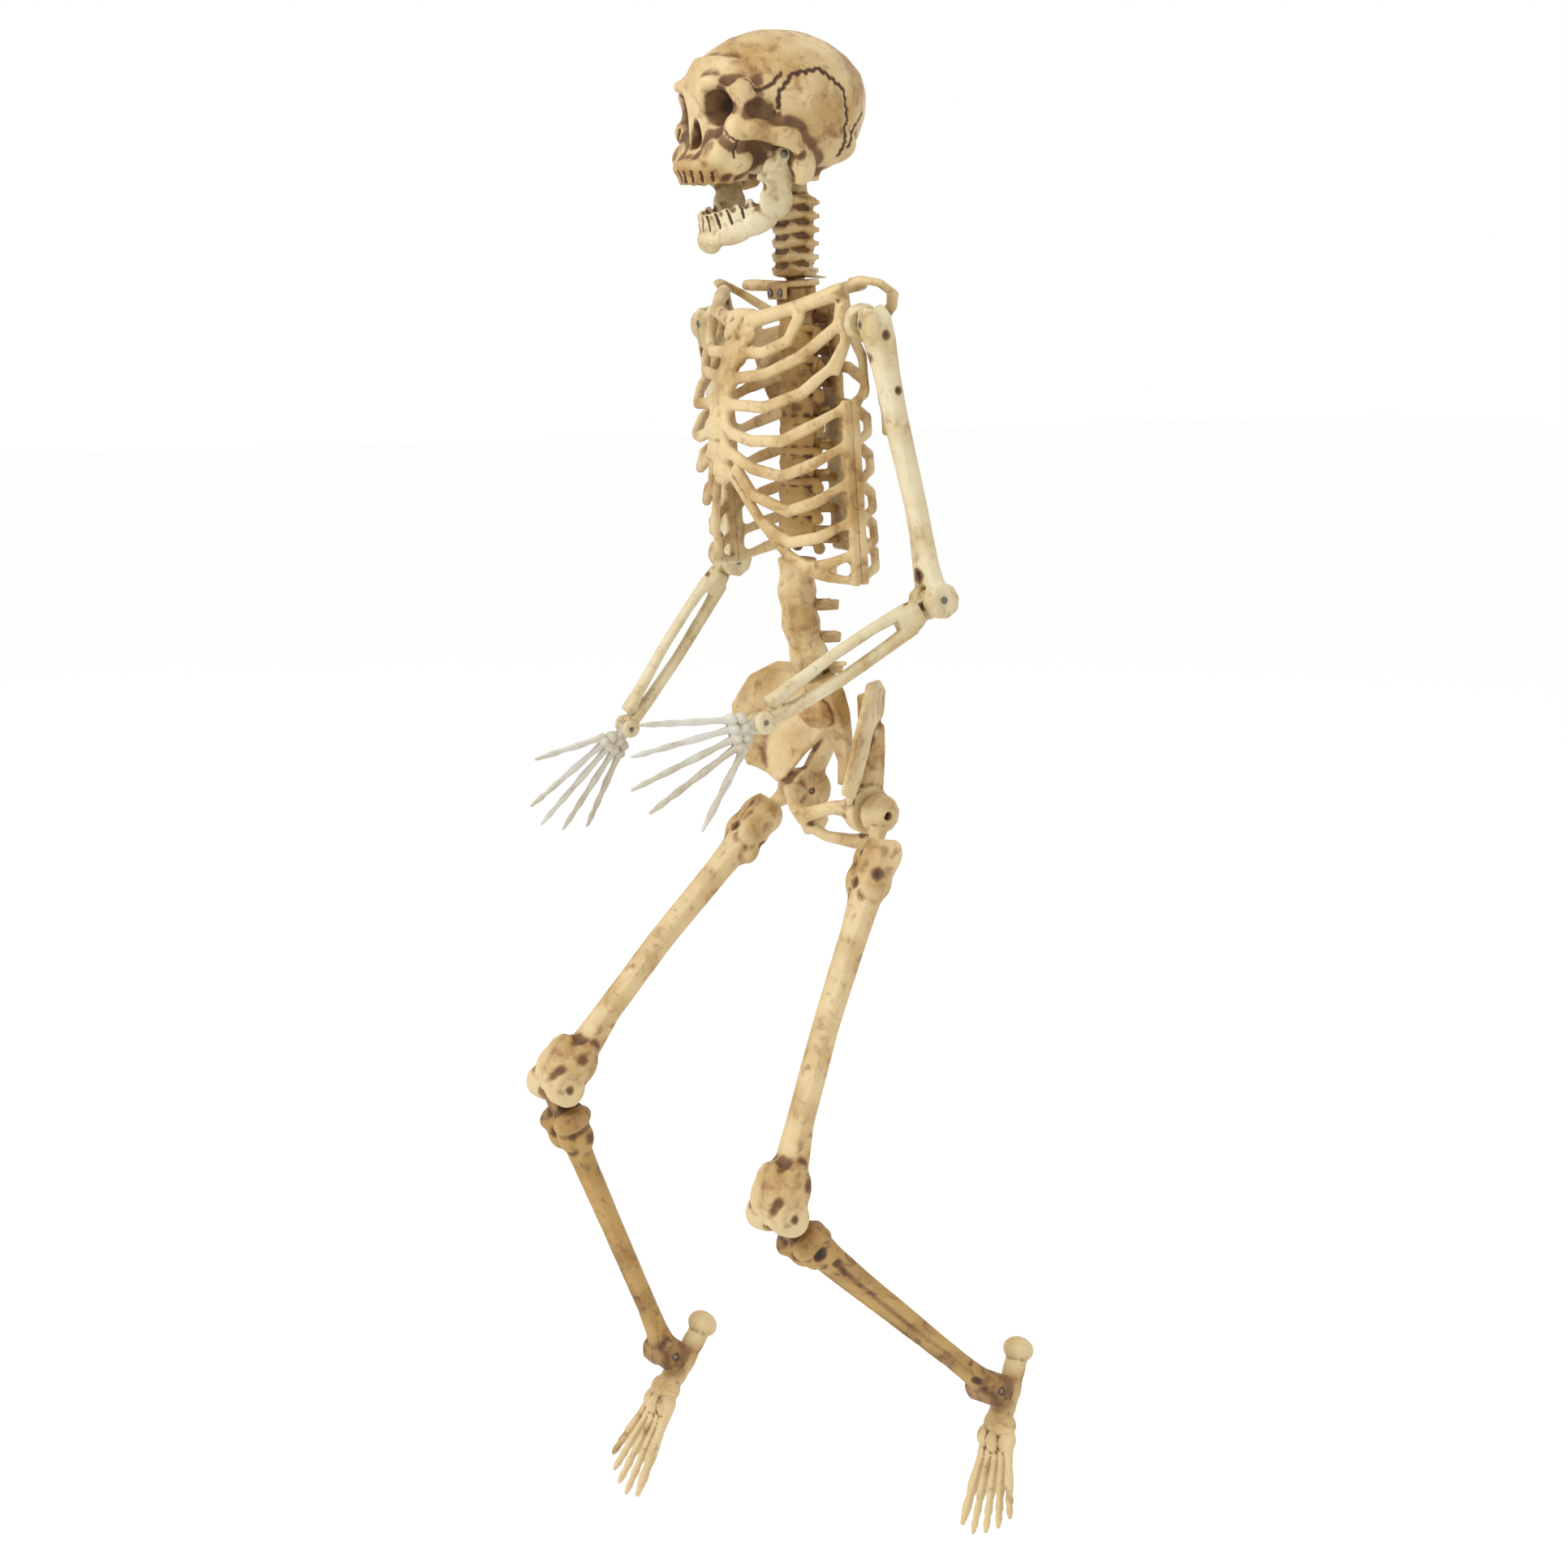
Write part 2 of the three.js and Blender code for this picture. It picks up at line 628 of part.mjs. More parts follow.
function scapula(side) {
  const mirror = (points) => points.map(([x, ...rest]) => [side * x, ...rest]);
  const outer = mirror([[110, 14, -50], [112, 17, -76], [108, 24, -110], [98, 32, -142]]);
  const inner = mirror([[66, 42, -40], [64, 43, -72], [72, 41, -108], [90, 36, -142]]);
  const blade = plate(surfaceFrom(outer, inner, new THREE.Vector3(0, 2, 0)), 3, 4, 2);
  const spine = limb(mirror([
    [66, 44, -56, 4, 4],
    [92, 38, -40, 5, 5],
    [122, 30, -26, 6, 4.5],
    [140, 20, -14, 7, 4],
    [144, 4, -4, 8, 3.5],
    [134, -10, 0, 7, 4],
    [122, -14, -3, 6, 5],
  ]), { across: axisX });
  const border = limb(mirror([[112, 14, -44, 5, 5], [114, 18, -78, 4, 4], [108, 25, -112, 4, 4], [94, 34, -146, 5, 4]]),
    { across: axisX });
  const neck = limb(mirror([[110, 15, -48, 6, 6], [113, 24, -34, 6, 6]]), { across: axisX });
  return join(blade, spine, border, neck);
}

piece(torso, 'rib_cage_front', ribCageFront(), finish.boneTan);
piece(torso, 'rib_cage_rear', ribCageRear(), finish.boneTan);
piece(torso, 'thoracic_spine', thoracicSpine(), finish.boneBrown);
piece(torso, 'lumbar_spine', lumbarSpine(), finish.boneTan);
piece(torso, 'collar_band', collarBand(), finish.boneTan);
piece(torso, 'spine_screw', screw(axisY, [0, spineJoint.y, spineJoint.z + 14], smallScrew, 30), finish.zincSteel);
for (const { name, at: [x, y, z] } of collarScrews) {
  piece(torso, `collar_screw_${name}`, shortScrew(axisY, [x, y - 3.8, z], smallScrew, 12), finish.zincSteel);
}
for (const [name, side] of bothSides) {
  piece(torso, `scapula_${name}`, scapula(side), finish.boneTan);
  piece(torso, `hip_bone_${name}`, hipBone(side), finish.boneTan);
}

// ---------------------------------------------------------------- neck, skull and jaw

const neck = joint(torso, 'neck_turn', [0, 0, 0], axisZ, 0);
const atlasOnNeck = new THREE.Vector3(0, atlas.y, atlas.z).applyAxisAngle(axisX, -radians(pose.lean));
const nod = joint(neck, 'head_nod', atlasOnNeck.toArray(), axisX, -pose.lean);
const nodTongue = { radius: 9, width: 12 };

function neckColumn() {
  const { y, z } = atlasOnNeck;
  const curve = [[neckHeight, y - 2], [neckHeight * 0.5, y * 0.4], [restGap, 0]];
  const stack = vertebrae(curve, 6, 17.5, { wide: 17, back: y + 24, tall: 3, lift: 1 });
  const stem = rod(axisZ, [0, 0, 5 - neckStem.depth / 2], neckStem.radius, neckStem.depth + 8, 16);
  const post = limb([[0, y - 2, neckHeight - 4, 10, 10], [0, y, z - 12, 8, 8], [0, y, z, 5.8, 6]]);
  const tongue = boss(axisX, [0, y, z], nodTongue.radius, -nodTongue.width / 2, nodTongue.width / 2, 12);
  const above = block([0, 0, -50], [100, 100, 100.6]);
  const column = cut(stack, above);
  const bore = rod(axisX, [0, y, z], smallScrew.shank + boreGap, 40);
  return cut(join(column, stem, post, tongue), bore);
}

// The skull is measured from the collar, standing level.
const headFrame = new THREE.Group();
headFrame.position.set(0, -atlas.y, -atlas.z);
nod.add(headFrame);

function braincase(shrink, around, down) {
  const geometry = new THREE.SphereGeometry(1, around, down);
  geometry.rotateX(Math.PI / 2);
  const { halfWidth, halfLength, halfHeight, y, z } = cranium;
  const places = geometry.attributes.position;
  for (let i = 0; i < places.count; i += 1) {
    const [nx, ny, nz] = [places.getX(i), places.getY(i), places.getZ(i)];
    const narrowing = 1 - 0.2 * Math.max(0, -ny) ** 1.6;
    const flat = nz < -0.75 ? -0.75 + (nz + 0.75) * 0.5 : nz;
    const px = nx * (halfWidth - shrink) * narrowing;
    places.setXYZ(i, px, y + ny * (halfLength - shrink), z + flat * (halfHeight * 1.08 - shrink));
  }
  return solid(geometry);
}

function faceBlock() {
  return limb([
    [0, -62, 196, 42, 38],
    [0, -66, 182, 49, 42],
    [0, -68, 169, 52, 45],
    [0, -66, 153, 49, 43],
    [0, -66, 137, 49, 42],
    [0, -66, 123, 41, 42],
    [0, -67, 108, 33, 48],
    [0, -68, 96, 29, 52],
    [0, -68, 90, 27, 50],
  ], { sides: 12 });
}

function noseHole() {
  const shape = new THREE.Shape();
  shape.moveTo(0, 149);
  shape.quadraticCurveTo(8, 142, 12, 124);
  shape.quadraticCurveTo(12, 115, 5, 116);
  shape.lineTo(0, 119);
  shape.lineTo(-5, 116);
  shape.quadraticCurveTo(-12, 115, -12, 124);
  shape.quadraticCurveTo(-8, 142, 0, 149);
  const geometry = new THREE.ExtrudeGeometry(shape, { depth: 40, bevelEnabled: false, curveSegments: 2 });
  geometry.rotateX(Math.PI / 2);
  geometry.translate(0, -88, 0);
  return solid(geometry);
}

// Teeth stand side by side round an arch; `tips` is the height that they reach to.
function teeth(arch, roots, tips) {
  const solids = [];
  for (let i = 0; i < toothCount; i += 1) {
    const angle = radians(-76 + (152 * i) / (toothCount - 1));
    const x = arch.half * Math.sin(angle);
    const y = arch.back - arch.reach * Math.cos(angle);
    solids.push(limb([[x, y, roots, 5, 4.5], [x, y, tips, 4.2, 2.8]], { sides: 4 }));
  }
  return solids;
}

const skullSeam = -12;
const nodGrip = 42;

function wholeSkull() {
  const face = cut(faceBlock(), block([0, 34, 150], [200, 200, 200]));
  let skull = join(cut(braincase(0, 16, 11), braincase(cranium.wall, 10, 7)), face);
  for (const side of [1, -1]) {
    const eye = ball([side * 30, -104, 154], [16.5, 35, 18.5], 9, 5);
    const temple = ball([side * 62, -66, 146], [15, 22, 27]);
    const jawChannel = block([side * 56, -60, 104], [24, 52, 46]);
    skull = cut(skull, eye, temple, jawChannel);
  }
  const solids = [skull];
  for (const side of [1, -1]) {
    const cheek = limb([
      [side * 40, -96, 134, 8, 6],
      [side * 50, -88, 132, 9, 5],
      [side * 58, -72, 130, 6.5, 4],
      [side * 65, -54, 126, 5, 3.5],
      [side * 64, -34, 118, 6, 4],
      [side * 57, -24, 116, 7, 5],
    ], { across: axisZ });
    const orbitRim = limb([[side * 46, -96, 172, 5, 5], [side * 51, -88, 155, 4, 5], [side * 50, -88, 136, 5, 6]],
      { across: axisY });
    const mastoid = limb([[side * 54, -26, 116, 12, 8], [side * 55, -26, 98, 10, 7], [side * 53, -27, 86, 5, 4]],
      { across: axisY });
    const pad = boss(axisX, [0, jawHinge.y, jawHinge.z], 9,
      ...(side > 0 ? [32, jawHinge.x - 4.6] : [4.6 - jawHinge.x, -32]), 10);
    solids.push(cheek, orbitRim, mastoid, pad);
    solids.push(limb([[side * 34, -44, 112, 9, 5], [side * 38, -30, 104, 9, 6]]));
  }
  const lugs = [1, -1].map((side) => block([side * 17, atlas.y, atlas.z - 1], [20, 14, 15]));
  solids.push(...lugs, ...teeth({ half: 26, back: -74, reach: 46 }, 100, 86));
  const palate = ball([0, -80, 84], [19, 34, 15]);
  const throat = rod(axisZ, [0, atlas.y + 1, atlas.z - 14], 20, 24, 16);
  const nodBore = screwBore(axisX, [0, atlas.y, atlas.z], smallScrew, nodGrip, 8);
  const jawBore = rod(axisX, [0, jawHinge.y, jawHinge.z], smallScrew.shank + boreGap, 140);
  const headGap = block([0, atlas.y, atlas.z], [nodTongue.width + 2 * hingeGap, 40, 24]);
  return cut(join(solids), noseHole(), palate, throat, nodBore, jawBore, headGap);
}

function mandible() {
  const solids = [];
  for (const side of [1, -1]) {
    const x = jawHinge.x;
    solids.push(boss(axisX, [0, 0, 0], 7, ...(side > 0 ? [x - 4, x + 4] : [-x - 4, 4 - x]), 10));
    solids.push(limb([
      [side * x, -3, -4, 7, 3.5],
      [side * (x - 1), -12, -18, 13, 3.5],
      [side * (x - 4), -18, -34, 14, 4],
      [side * (x - 8), -27, -46, 12, 5],
    ], { across: axisY }));
    solids.push(limb([[side * (x - 1), -20, -18, 5, 3], [side * (x - 3), -30, -9, 3, 2.5]], { across: axisY }));
  }
  const bodyLine = [[42, -26, -46], [34, -45, -44], [24, -62, -43], [11, -72, -44]];
  const right = bodyLine.map(([x, y, z]) => [-x, y, z, 12, 5]);
  const left = [...bodyLine].reverse().map(([x, y, z]) => [x, y, z, 12, 5]);
  solids.push(limb([...right, [0, -74, -45, 13, 5.5], ...left], { across: axisZ }));
  solids.push(...teeth({ half: 33, back: -28, reach: 45 }, -38, -27));
  const bore = rod(axisX, [0, 0, 0], smallScrew.shank + boreGap, 140);
  return cut(join(solids), bore);
}

const jaw = joint(headFrame, 'jaw', [0, jawHinge.y, jawHinge.z], axisX, pose.jaw);
const skull = wholeSkull();
const back = new THREE.Vector3(0, 1, 0);
piece(neck, 'neck', neckColumn(), finish.boneTan);
piece(headFrame, 'skull_face', halfOf(skull, back.clone().negate(), [0, skullSeam, 0]), finish.boneTan);
piece(headFrame, 'skull_back', halfOf(skull, back, [0, skullSeam, 0]), finish.boneTan);
piece(headFrame, 'nod_screw', screw(axisX, [0, atlas.y, atlas.z], smallScrew, nodGrip), finish.zincSteel);
piece(jaw, 'mandible', mandible(), finish.bonePale);
for (const [name, side] of bothSides) {
  const out = axisX.clone().multiplyScalar(-side);
  const at = [side * (jawHinge.x + 4.3), jawHinge.y, jawHinge.z];
  piece(headFrame, `jaw_screw_${name}`, shortScrew(out, at, smallScrew, 14), finish.zincSteel);
}

// ---------------------------------------------------------------- arms

// The shoulder knuckle turns on the torso; its tongue carries the upper arm.
const shoulderTongue = { width: 12, hub: 10, neck: 8 };

function shoulderKnuckle(side) {
  const out = side * arm.pivotOut;
  const inner = side * (shoulder.strapX + 3.5 + hingeGap - shoulder.x);
  const beyond = block([inner - side * 50, 0, 0], [100, 100, 100]);
  const seat = rod(axisY, [out, 0, 0], arm.head + 1.5 * hingeGap, 60, 12);
  const cup = cut(ball([0, 0, 0], [shoulder.ball, shoulder.ball, shoulder.ball], 9, 6), beyond, seat);
  const { width, hub, neck: tall } = shoulderTongue;
  const bridge = block([out / 2, 0, 0], [Math.abs(out), width, 2 * tall]);
  const tongue = boss(axisY, [out, 0, 0], hub, -width / 2, width / 2, 12);
  const pin = rod(axisY, [out, 0, 0], smallScrew.shank + boreGap, 60);
  const axle = rod(axisX, [0, 0, 0], bigScrew.shank + boreGap, 80);
  const nutRoom = rod(axisX, [side * 2, 0, 0], bigScrew.head + boreGap, 8, 10);
  return cut(join(cup, bridge, tongue), pin, cut(join(axle, nutRoom), block([side * 46, 0, 0], [80, 80, 80])));
}

// Angles on a front-to-back axis that lean towards the body on this side.
function span(side, low, high) {
  return side > 0 ? { from: low, to: high } : { from: -high, to: -low };
}

function humerus(side) {
  const { upper, head, shaft, elbow, pivotOut } = arm;
  const x = side;
  const body = limb([
    [0, 0, 14, 10, 12],
    [x, 0, 2, 17, 17],
    [x * 2, 1, -20, 15, 15.5],
    [x * 2, 1, -45, 12.5, 13],
    [x, 1, -85, shaft, shaft + 1],
    [0, 3, -170, shaft - 1, shaft],
    [0, 2, 60 - upper, shaft, shaft],
    [0, 0, 32 - upper, 15, 11],
    [0, 0, 12 - upper, 19, 12],
    [0, 0, 2 - upper, 19, 12],
  ]);
  const cheek = boss(axisX, [0, 0, -upper], elbow, -20, 20);
  const tubercle = ball([x * 9, -8, -4], [9, 9, 14], 8, 6);
  const { width, hub, neck: tall } = shoulderTongue;
  const inward = span(side, 180, 275);
  const pocket = sweep(axisY, [0, 0, 0],
    { width: width + 2 * hingeGap, hub: hub + 1, half: tall + 1, reach: 40, ...inward });
  const ballRoom = join(
    sweep(axisY, [0, 0, 0], { width: 80, hub: 1, half: shoulder.ball * 0.78, reach: 42, ...inward }),
    rod(axisY, [-side * pivotOut, 0, -2], shoulder.ball + 1, 80, 12),
  );
  const keep = rod(axisY, [0, 0, 0], head, 90, 12);
  const slot = sweep(axisX, [0, 0, -upper],
    { width: elbowTongue.width + 2 * hingeGap, hub: elbowTongue.hub + 1, half: elbowTongue.neck + 1, reach: 34, from: -125, to: 8 });
  const pin = screwBore(axisY, [0, 0, 0], smallScrew, 26, 12);
  const bolt = screwBore(axisX, [0, 0, -upper], bigScrew, 33, 12);
  return cut(join(body, cheek, tubercle), pocket, cut(ballRoom, keep), slot, pin, bolt);
}

const elbowTongue = { width: 12, hub: 13, neck: 9 };
const wristTongue = { width: 9, hub: 8, neck: 5 };

function forearm() {
  const { fore, wrist } = arm;
  const { width, hub, neck: thickNeck } = elbowTongue;
  const tongue = boss(axisX, [0, 0, 0], hub, -width / 2, width / 2, 12);
  const bridge = block([0, 0, -11], [width, 2 * thickNeck, 22]);
  const head = limb([[0, 0, -20, 11, 13], [0, 0, -30, 11, 15], [0, -1, -44, 7.5, 14]]);
  const ulna = limb([
    [0, 9, -30, 8, 7],
    [0, 10, -60, 6.5, 6],
    [0, 10, -120, 6, 5.5],
    [0, 6, -175, 6.5, 6],
    [0, 2, 14 - fore, 8, 8],
    [0, 0, 2 - fore, 9, 9],
  ]);
  const radius = limb([
    [0, -9, -34, 7, 6],
    [0, -12, -70, 5.5, 5],
    [0, -13, -120, 5.5, 5],
    [0, -11, 40 - fore, 6.5, 6],
    [0, -10, 20 - fore, 8, 7.5],
    [0, -11, 14 - fore, 7, 6.5],
  ]);
  const bridgeLow = limb([[0, -12, 24 - fore, 6, 5], [0, 2, 18 - fore, 6, 5]]);
  const cheek = boss(axisX, [0, 0, -fore], wrist, -10.5, 10.5, 12);
  const slot = sweep(axisX, [0, 0, -fore],
    { width: wristTongue.width + 2 * hingeGap, hub: wristTongue.hub + 1, half: wristTongue.neck + 1, reach: 24, from: -50, to: 40 });
  const pin = rod(axisX, [0, 0, 0], bigScrew.shank + boreGap, 40);
  const bolt = screwBore(axisX, [0, 0, -fore], smallScrew, 17, 8);
  return cut(join(tongue, bridge, head, ulna, radius, bridgeLow, cheek), pin, slot, bolt);
}

// One ray of the hand or foot: a wrist-side bone and the phalanges beyond it, with a knuckle
// at each joint. `lengths` are the bones' lengths along the straight line from base to tip.
function ray(base, direction, lengths, knuckle, shaft, across) {
  const stations = [];
  let along = 0;
  let size = 1;
  lengths.forEach((length) => {
    const middle = shaft * size;
    for (const [share, r] of [[0, knuckle * size], [0.5, middle]]) {
      const at = base.clone().addScaledVector(direction, along + share * length);
      stations.push([at.x, at.y, at.z, r, r]);
    }
    along += length;
    size *= 0.88;
  });
  const tip = base.clone().addScaledVector(direction, along);
  stations.push([tip.x, tip.y, tip.z, shaft * size * 0.7, shaft * size * 0.7]);
  return limb(stations, { across, sides: 4 });
}

// The hand is one moulding: wrist bones, a thumb on the side `thumb` of it and four fingers.
function handPiece(thumb) {
  const { palm, knuckle, shaft } = hand;
  const { width, hub, neck: thickNeck } = wristTongue;
  const tongue = boss(axisX, [0, 0, 0], hub, -width / 2, width / 2, 12);
  const bridge = block([0, 0, -8], [width, 2 * thickNeck, 16]);
  const solids = [tongue, bridge];
  solids.push(limb([
    [0, 0, -12, 9, 4],
    [0, thumb * 1, -20, 15, 4.5],
    [0, thumb * 1, 2 - palm, 16, 4.5],
  ], { across: axisY }));
  const fingers = [
    { y: 12, angle: 16, lengths: [42, 30, 19, 13] },
    { y: 4.5, angle: 6, lengths: [42, 33, 22, 14] },
    { y: -4, angle: -4, lengths: [39, 30, 20, 13] },
    { y: -12, angle: -15, lengths: [36, 24, 16, 12] },
  ];
  fingers.forEach(({ y, angle, lengths }) => {
    const t = radians(angle);
    const direction = new THREE.Vector3(0, thumb * Math.sin(t), -Math.cos(t));
    const base = new THREE.Vector3(0, thumb * y, 6 - palm);
    solids.push(ray(base, direction, lengths, knuckle, shaft, axisX));
  });
  const t = radians(42);
  const direction = new THREE.Vector3(0, thumb * Math.sin(t), -Math.cos(t));
  solids.push(ray(new THREE.Vector3(0, thumb * 16, -23), direction, [34, 28, 21], knuckle * 1.05, shaft, axisX));
  const pin = rod(axisX, [0, 0, 0], smallScrew.shank + boreGap, 40);
  return cut(join(solids), pin);
}

// ---------------------------------------------------------------- legs

const hipTongue = { width: 14, hub: 11, neck: 8.4 };
const kneeTongue = { width: 18, hub: 15, neck: 12 };
const ankleTongue = { width: 15, hub: 13, neck: 10 };

function hipKnuckle(side) {
  const { neckOut, neckDrop } = leg;
  const at = [side * neckOut, 0, -neckDrop];
  const beyond = block([-side * (hip.face + 50), 0, 0], [100, 100, 100]);
  const head = cut(ball([0, 0, 0], [hip.ball, hip.ball, hip.ball], 9, 6), beyond);
  const stem = limb([
    [0, 0, 0, 13, 13],
    [side * neckOut * 0.4, 0, -neckDrop * 0.4, 11, 10],
    [side * neckOut * 0.58, 0, -neckDrop * 0.58, 8.4, 7],
    [...at, 8.4, 7],
  ]);
  const { width, hub } = hipTongue;
  const tongue = boss(axisY, at, hub, -width / 2, width / 2, 12);
  const trimmed = cut(stem, block([at[0], 60 + width / 2, at[2]], [60, 120, 40]),
    block([at[0], -60 - width / 2, at[2]], [60, 120, 40]));
  const pin = rod(axisY, at, smallScrew.shank + boreGap, 60);
  const axle = screwBore(axisX, [side * (hipAxle.middle - hip.x), 0, 0], bigScrew, hipAxle.grip, 20);
  return cut(join(head, trimmed, tongue), pin, axle);
}

function femur(side) {
  const { thigh, shaft, knee } = leg;
  const x = side;
  const body = limb([
    [x * 2, 0, 16, 16, 14],
    [x * 3, 0, 4, 22, 19],
    [x * 2, 1, -18, 22, 18],
    [0, 1, -42, 18, 16],
    [0, 0, -80, shaft + 1, shaft + 1],
    [0, -4, -170, shaft, shaft],
    [0, -3, 90 - thigh, shaft + 1, shaft],
    [0, 0, 50 - thigh, 20, 16],
    [0, 1, 22 - thigh, 28, 19],
    [0, 1, 8 - thigh, 30, 19],
  ]);
  const cheek = boss(axisX, [0, 0, -thigh], knee, -30, 30, 14);
  const patella = ball([0, -22, 28 - thigh], [17, 10, 19]);
  const greater = ball([x * 15, 6, 4], [12, 13, 17]);
  const lesser = ball([-x * 13, 11, -44], [8, 9, 12], 8, 6);
  const { width, hub, neck: thickNeck } = hipTongue;
  const pocket = sweep(axisY, [0, 0, 0],
    { width: width + 2 * hingeGap, hub: hub + 1, half: thickNeck + 1, reach: 50, ...span(side, 168, 218) });
  const slot = sweep(axisX, [0, 0, -thigh],
    { width: kneeTongue.width + 2 * hingeGap, hub: kneeTongue.hub + 1, half: kneeTongue.neck + 1, reach: 44, from: -3, to: 108 });
  const pin = screwBore(axisY, [0, 0, 0], smallScrew, 30, 12);
  const bolt = screwBore(axisX, [0, 0, -thigh], bigScrew, 52, 14);
  return cut(join(body, cheek, patella, greater, lesser), pocket, slot, pin, bolt);
}

function tibia(side) {
  const { shin, ankle } = leg;
  const x = side;
  const { width, hub, neck: thickNeck } = kneeTongue;
  const tongue = boss(axisX, [0, 0, 0], hub, -width / 2, width / 2, 12);
  const bridge = block([0, 0, -16], [width, 2 * thickNeck, 32]);
  const body = limb([
    [0, 0, -32, 25, 17],
    [0, -1, -42, 22, 17],
    [0, -2, -56, 16, 15],
    [-x, -3, -90, 12.5, 13],
    [-x * 2, -2, -170, 11, 11.5],
    [-x, 0, 60 - shin, 11, 11],
    [0, 0, 28 - shin, 14, 12],
    [0, 0, 10 - shin, 18, 14],
    [0, 0, -shin, 18, 14],
  ]);
  const fibula = limb([
    [x * 20, 6, -40, 7, 7],
    [x * 17, 6, -58, 5, 5],
    [x * 13, 5, -110, 4.5, 4.5],
    [x * 11, 4, -200, 4.5, 4.5],
    [x * 12, 3, 40 - shin, 5, 5],
    [x * 16, 1, 10 - shin, 5, 8],
  ]);
  const cheek = boss(axisX, [0, 0, -shin], ankle, -20, 20);
  const slot = sweep(axisX, [0, 0, -shin],
    { width: ankleTongue.width + 2 * hingeGap, hub: ankleTongue.hub + 1, half: ankleTongue.neck + 1, reach: 34, from: -20, to: 45 });
  const pin = rod(axisX, [0, 0, 0], bigScrew.shank + boreGap, 60);
  const bolt = screwBore(axisX, [0, 0, -shin], bigScrew, 33, 12);
  return cut(join(tongue, bridge, body, fibula, cheek), pin, slot, bolt);
}

// The foot is one moulding: ankle tongue, heel, instep and five toes.
function footPiece(side) {
  const { toe, heel, knuckle, shaft } = foot;
  const { width, hub } = ankleTongue;
  const tongue = boss(axisX, [0, 0, 0], hub, -width / 2, width / 2, 12);
  const bridge = limb([[0, 0, -4, 7.5, 9], [0, -3, -24, 7.5, 10]]);
  const heelBone = limb([
    [0, -14, -26, 12, 9],
    [0, 4, -27, 12, 10],
    [0, heel * 0.5, -26, 9, 9],
    [0, heel * 0.85, -25, 11, 12],
    [0, heel, -25, 10, 11],
  ]);
  const instep = limb([
    [0, -8, -23, 12, 9],
    [0, -24, -23, 15, 9],
    [side * 2, -42, -26, 20, 7],
    [side * 3, -54, -28, 21, 5],
  ]);
  const solids = [tongue, bridge, heelBone, instep];
  const reach = toe - 48;
  for (let i = 0; i < 5; i += 1) {
    const share = i / 4;
    const x = side * (-15 + 34 * share);
    const t = radians(side * (-8 + 26 * share));
    const big = i === 0 ? 1.25 : 1;
    const length = reach * [1, 1.04, 0.98, 0.9, 0.78][i];
    const lengths = i === 0 ? [0.56, 0.24, 0.2] : [0.56, 0.2, 0.14, 0.1];
    const direction = new THREE.Vector3(Math.sin(t), -Math.cos(t), -0.1).normalize();
    const base = new THREE.Vector3(x, -48, -27);
    solids.push(ray(base, direction, lengths.map((l) => l * length), knuckle * big, shaft * big, axisX));
  }
  const pin = rod(axisX, [0, 0, 0], bigScrew.shank + boreGap, 60);
  return cut(join(solids), pin);
}

// ---------------------------------------------------------------- limbs in place

function seamed(group, name, body, side, material) {
  const outward = new THREE.Vector3(side, 0, 0);
  piece(group, `${name}_outer`, halfOf(body, outward), material);
  piece(group, `${name}_inner`, halfOf(body, outward.clone().negate()), material);
}

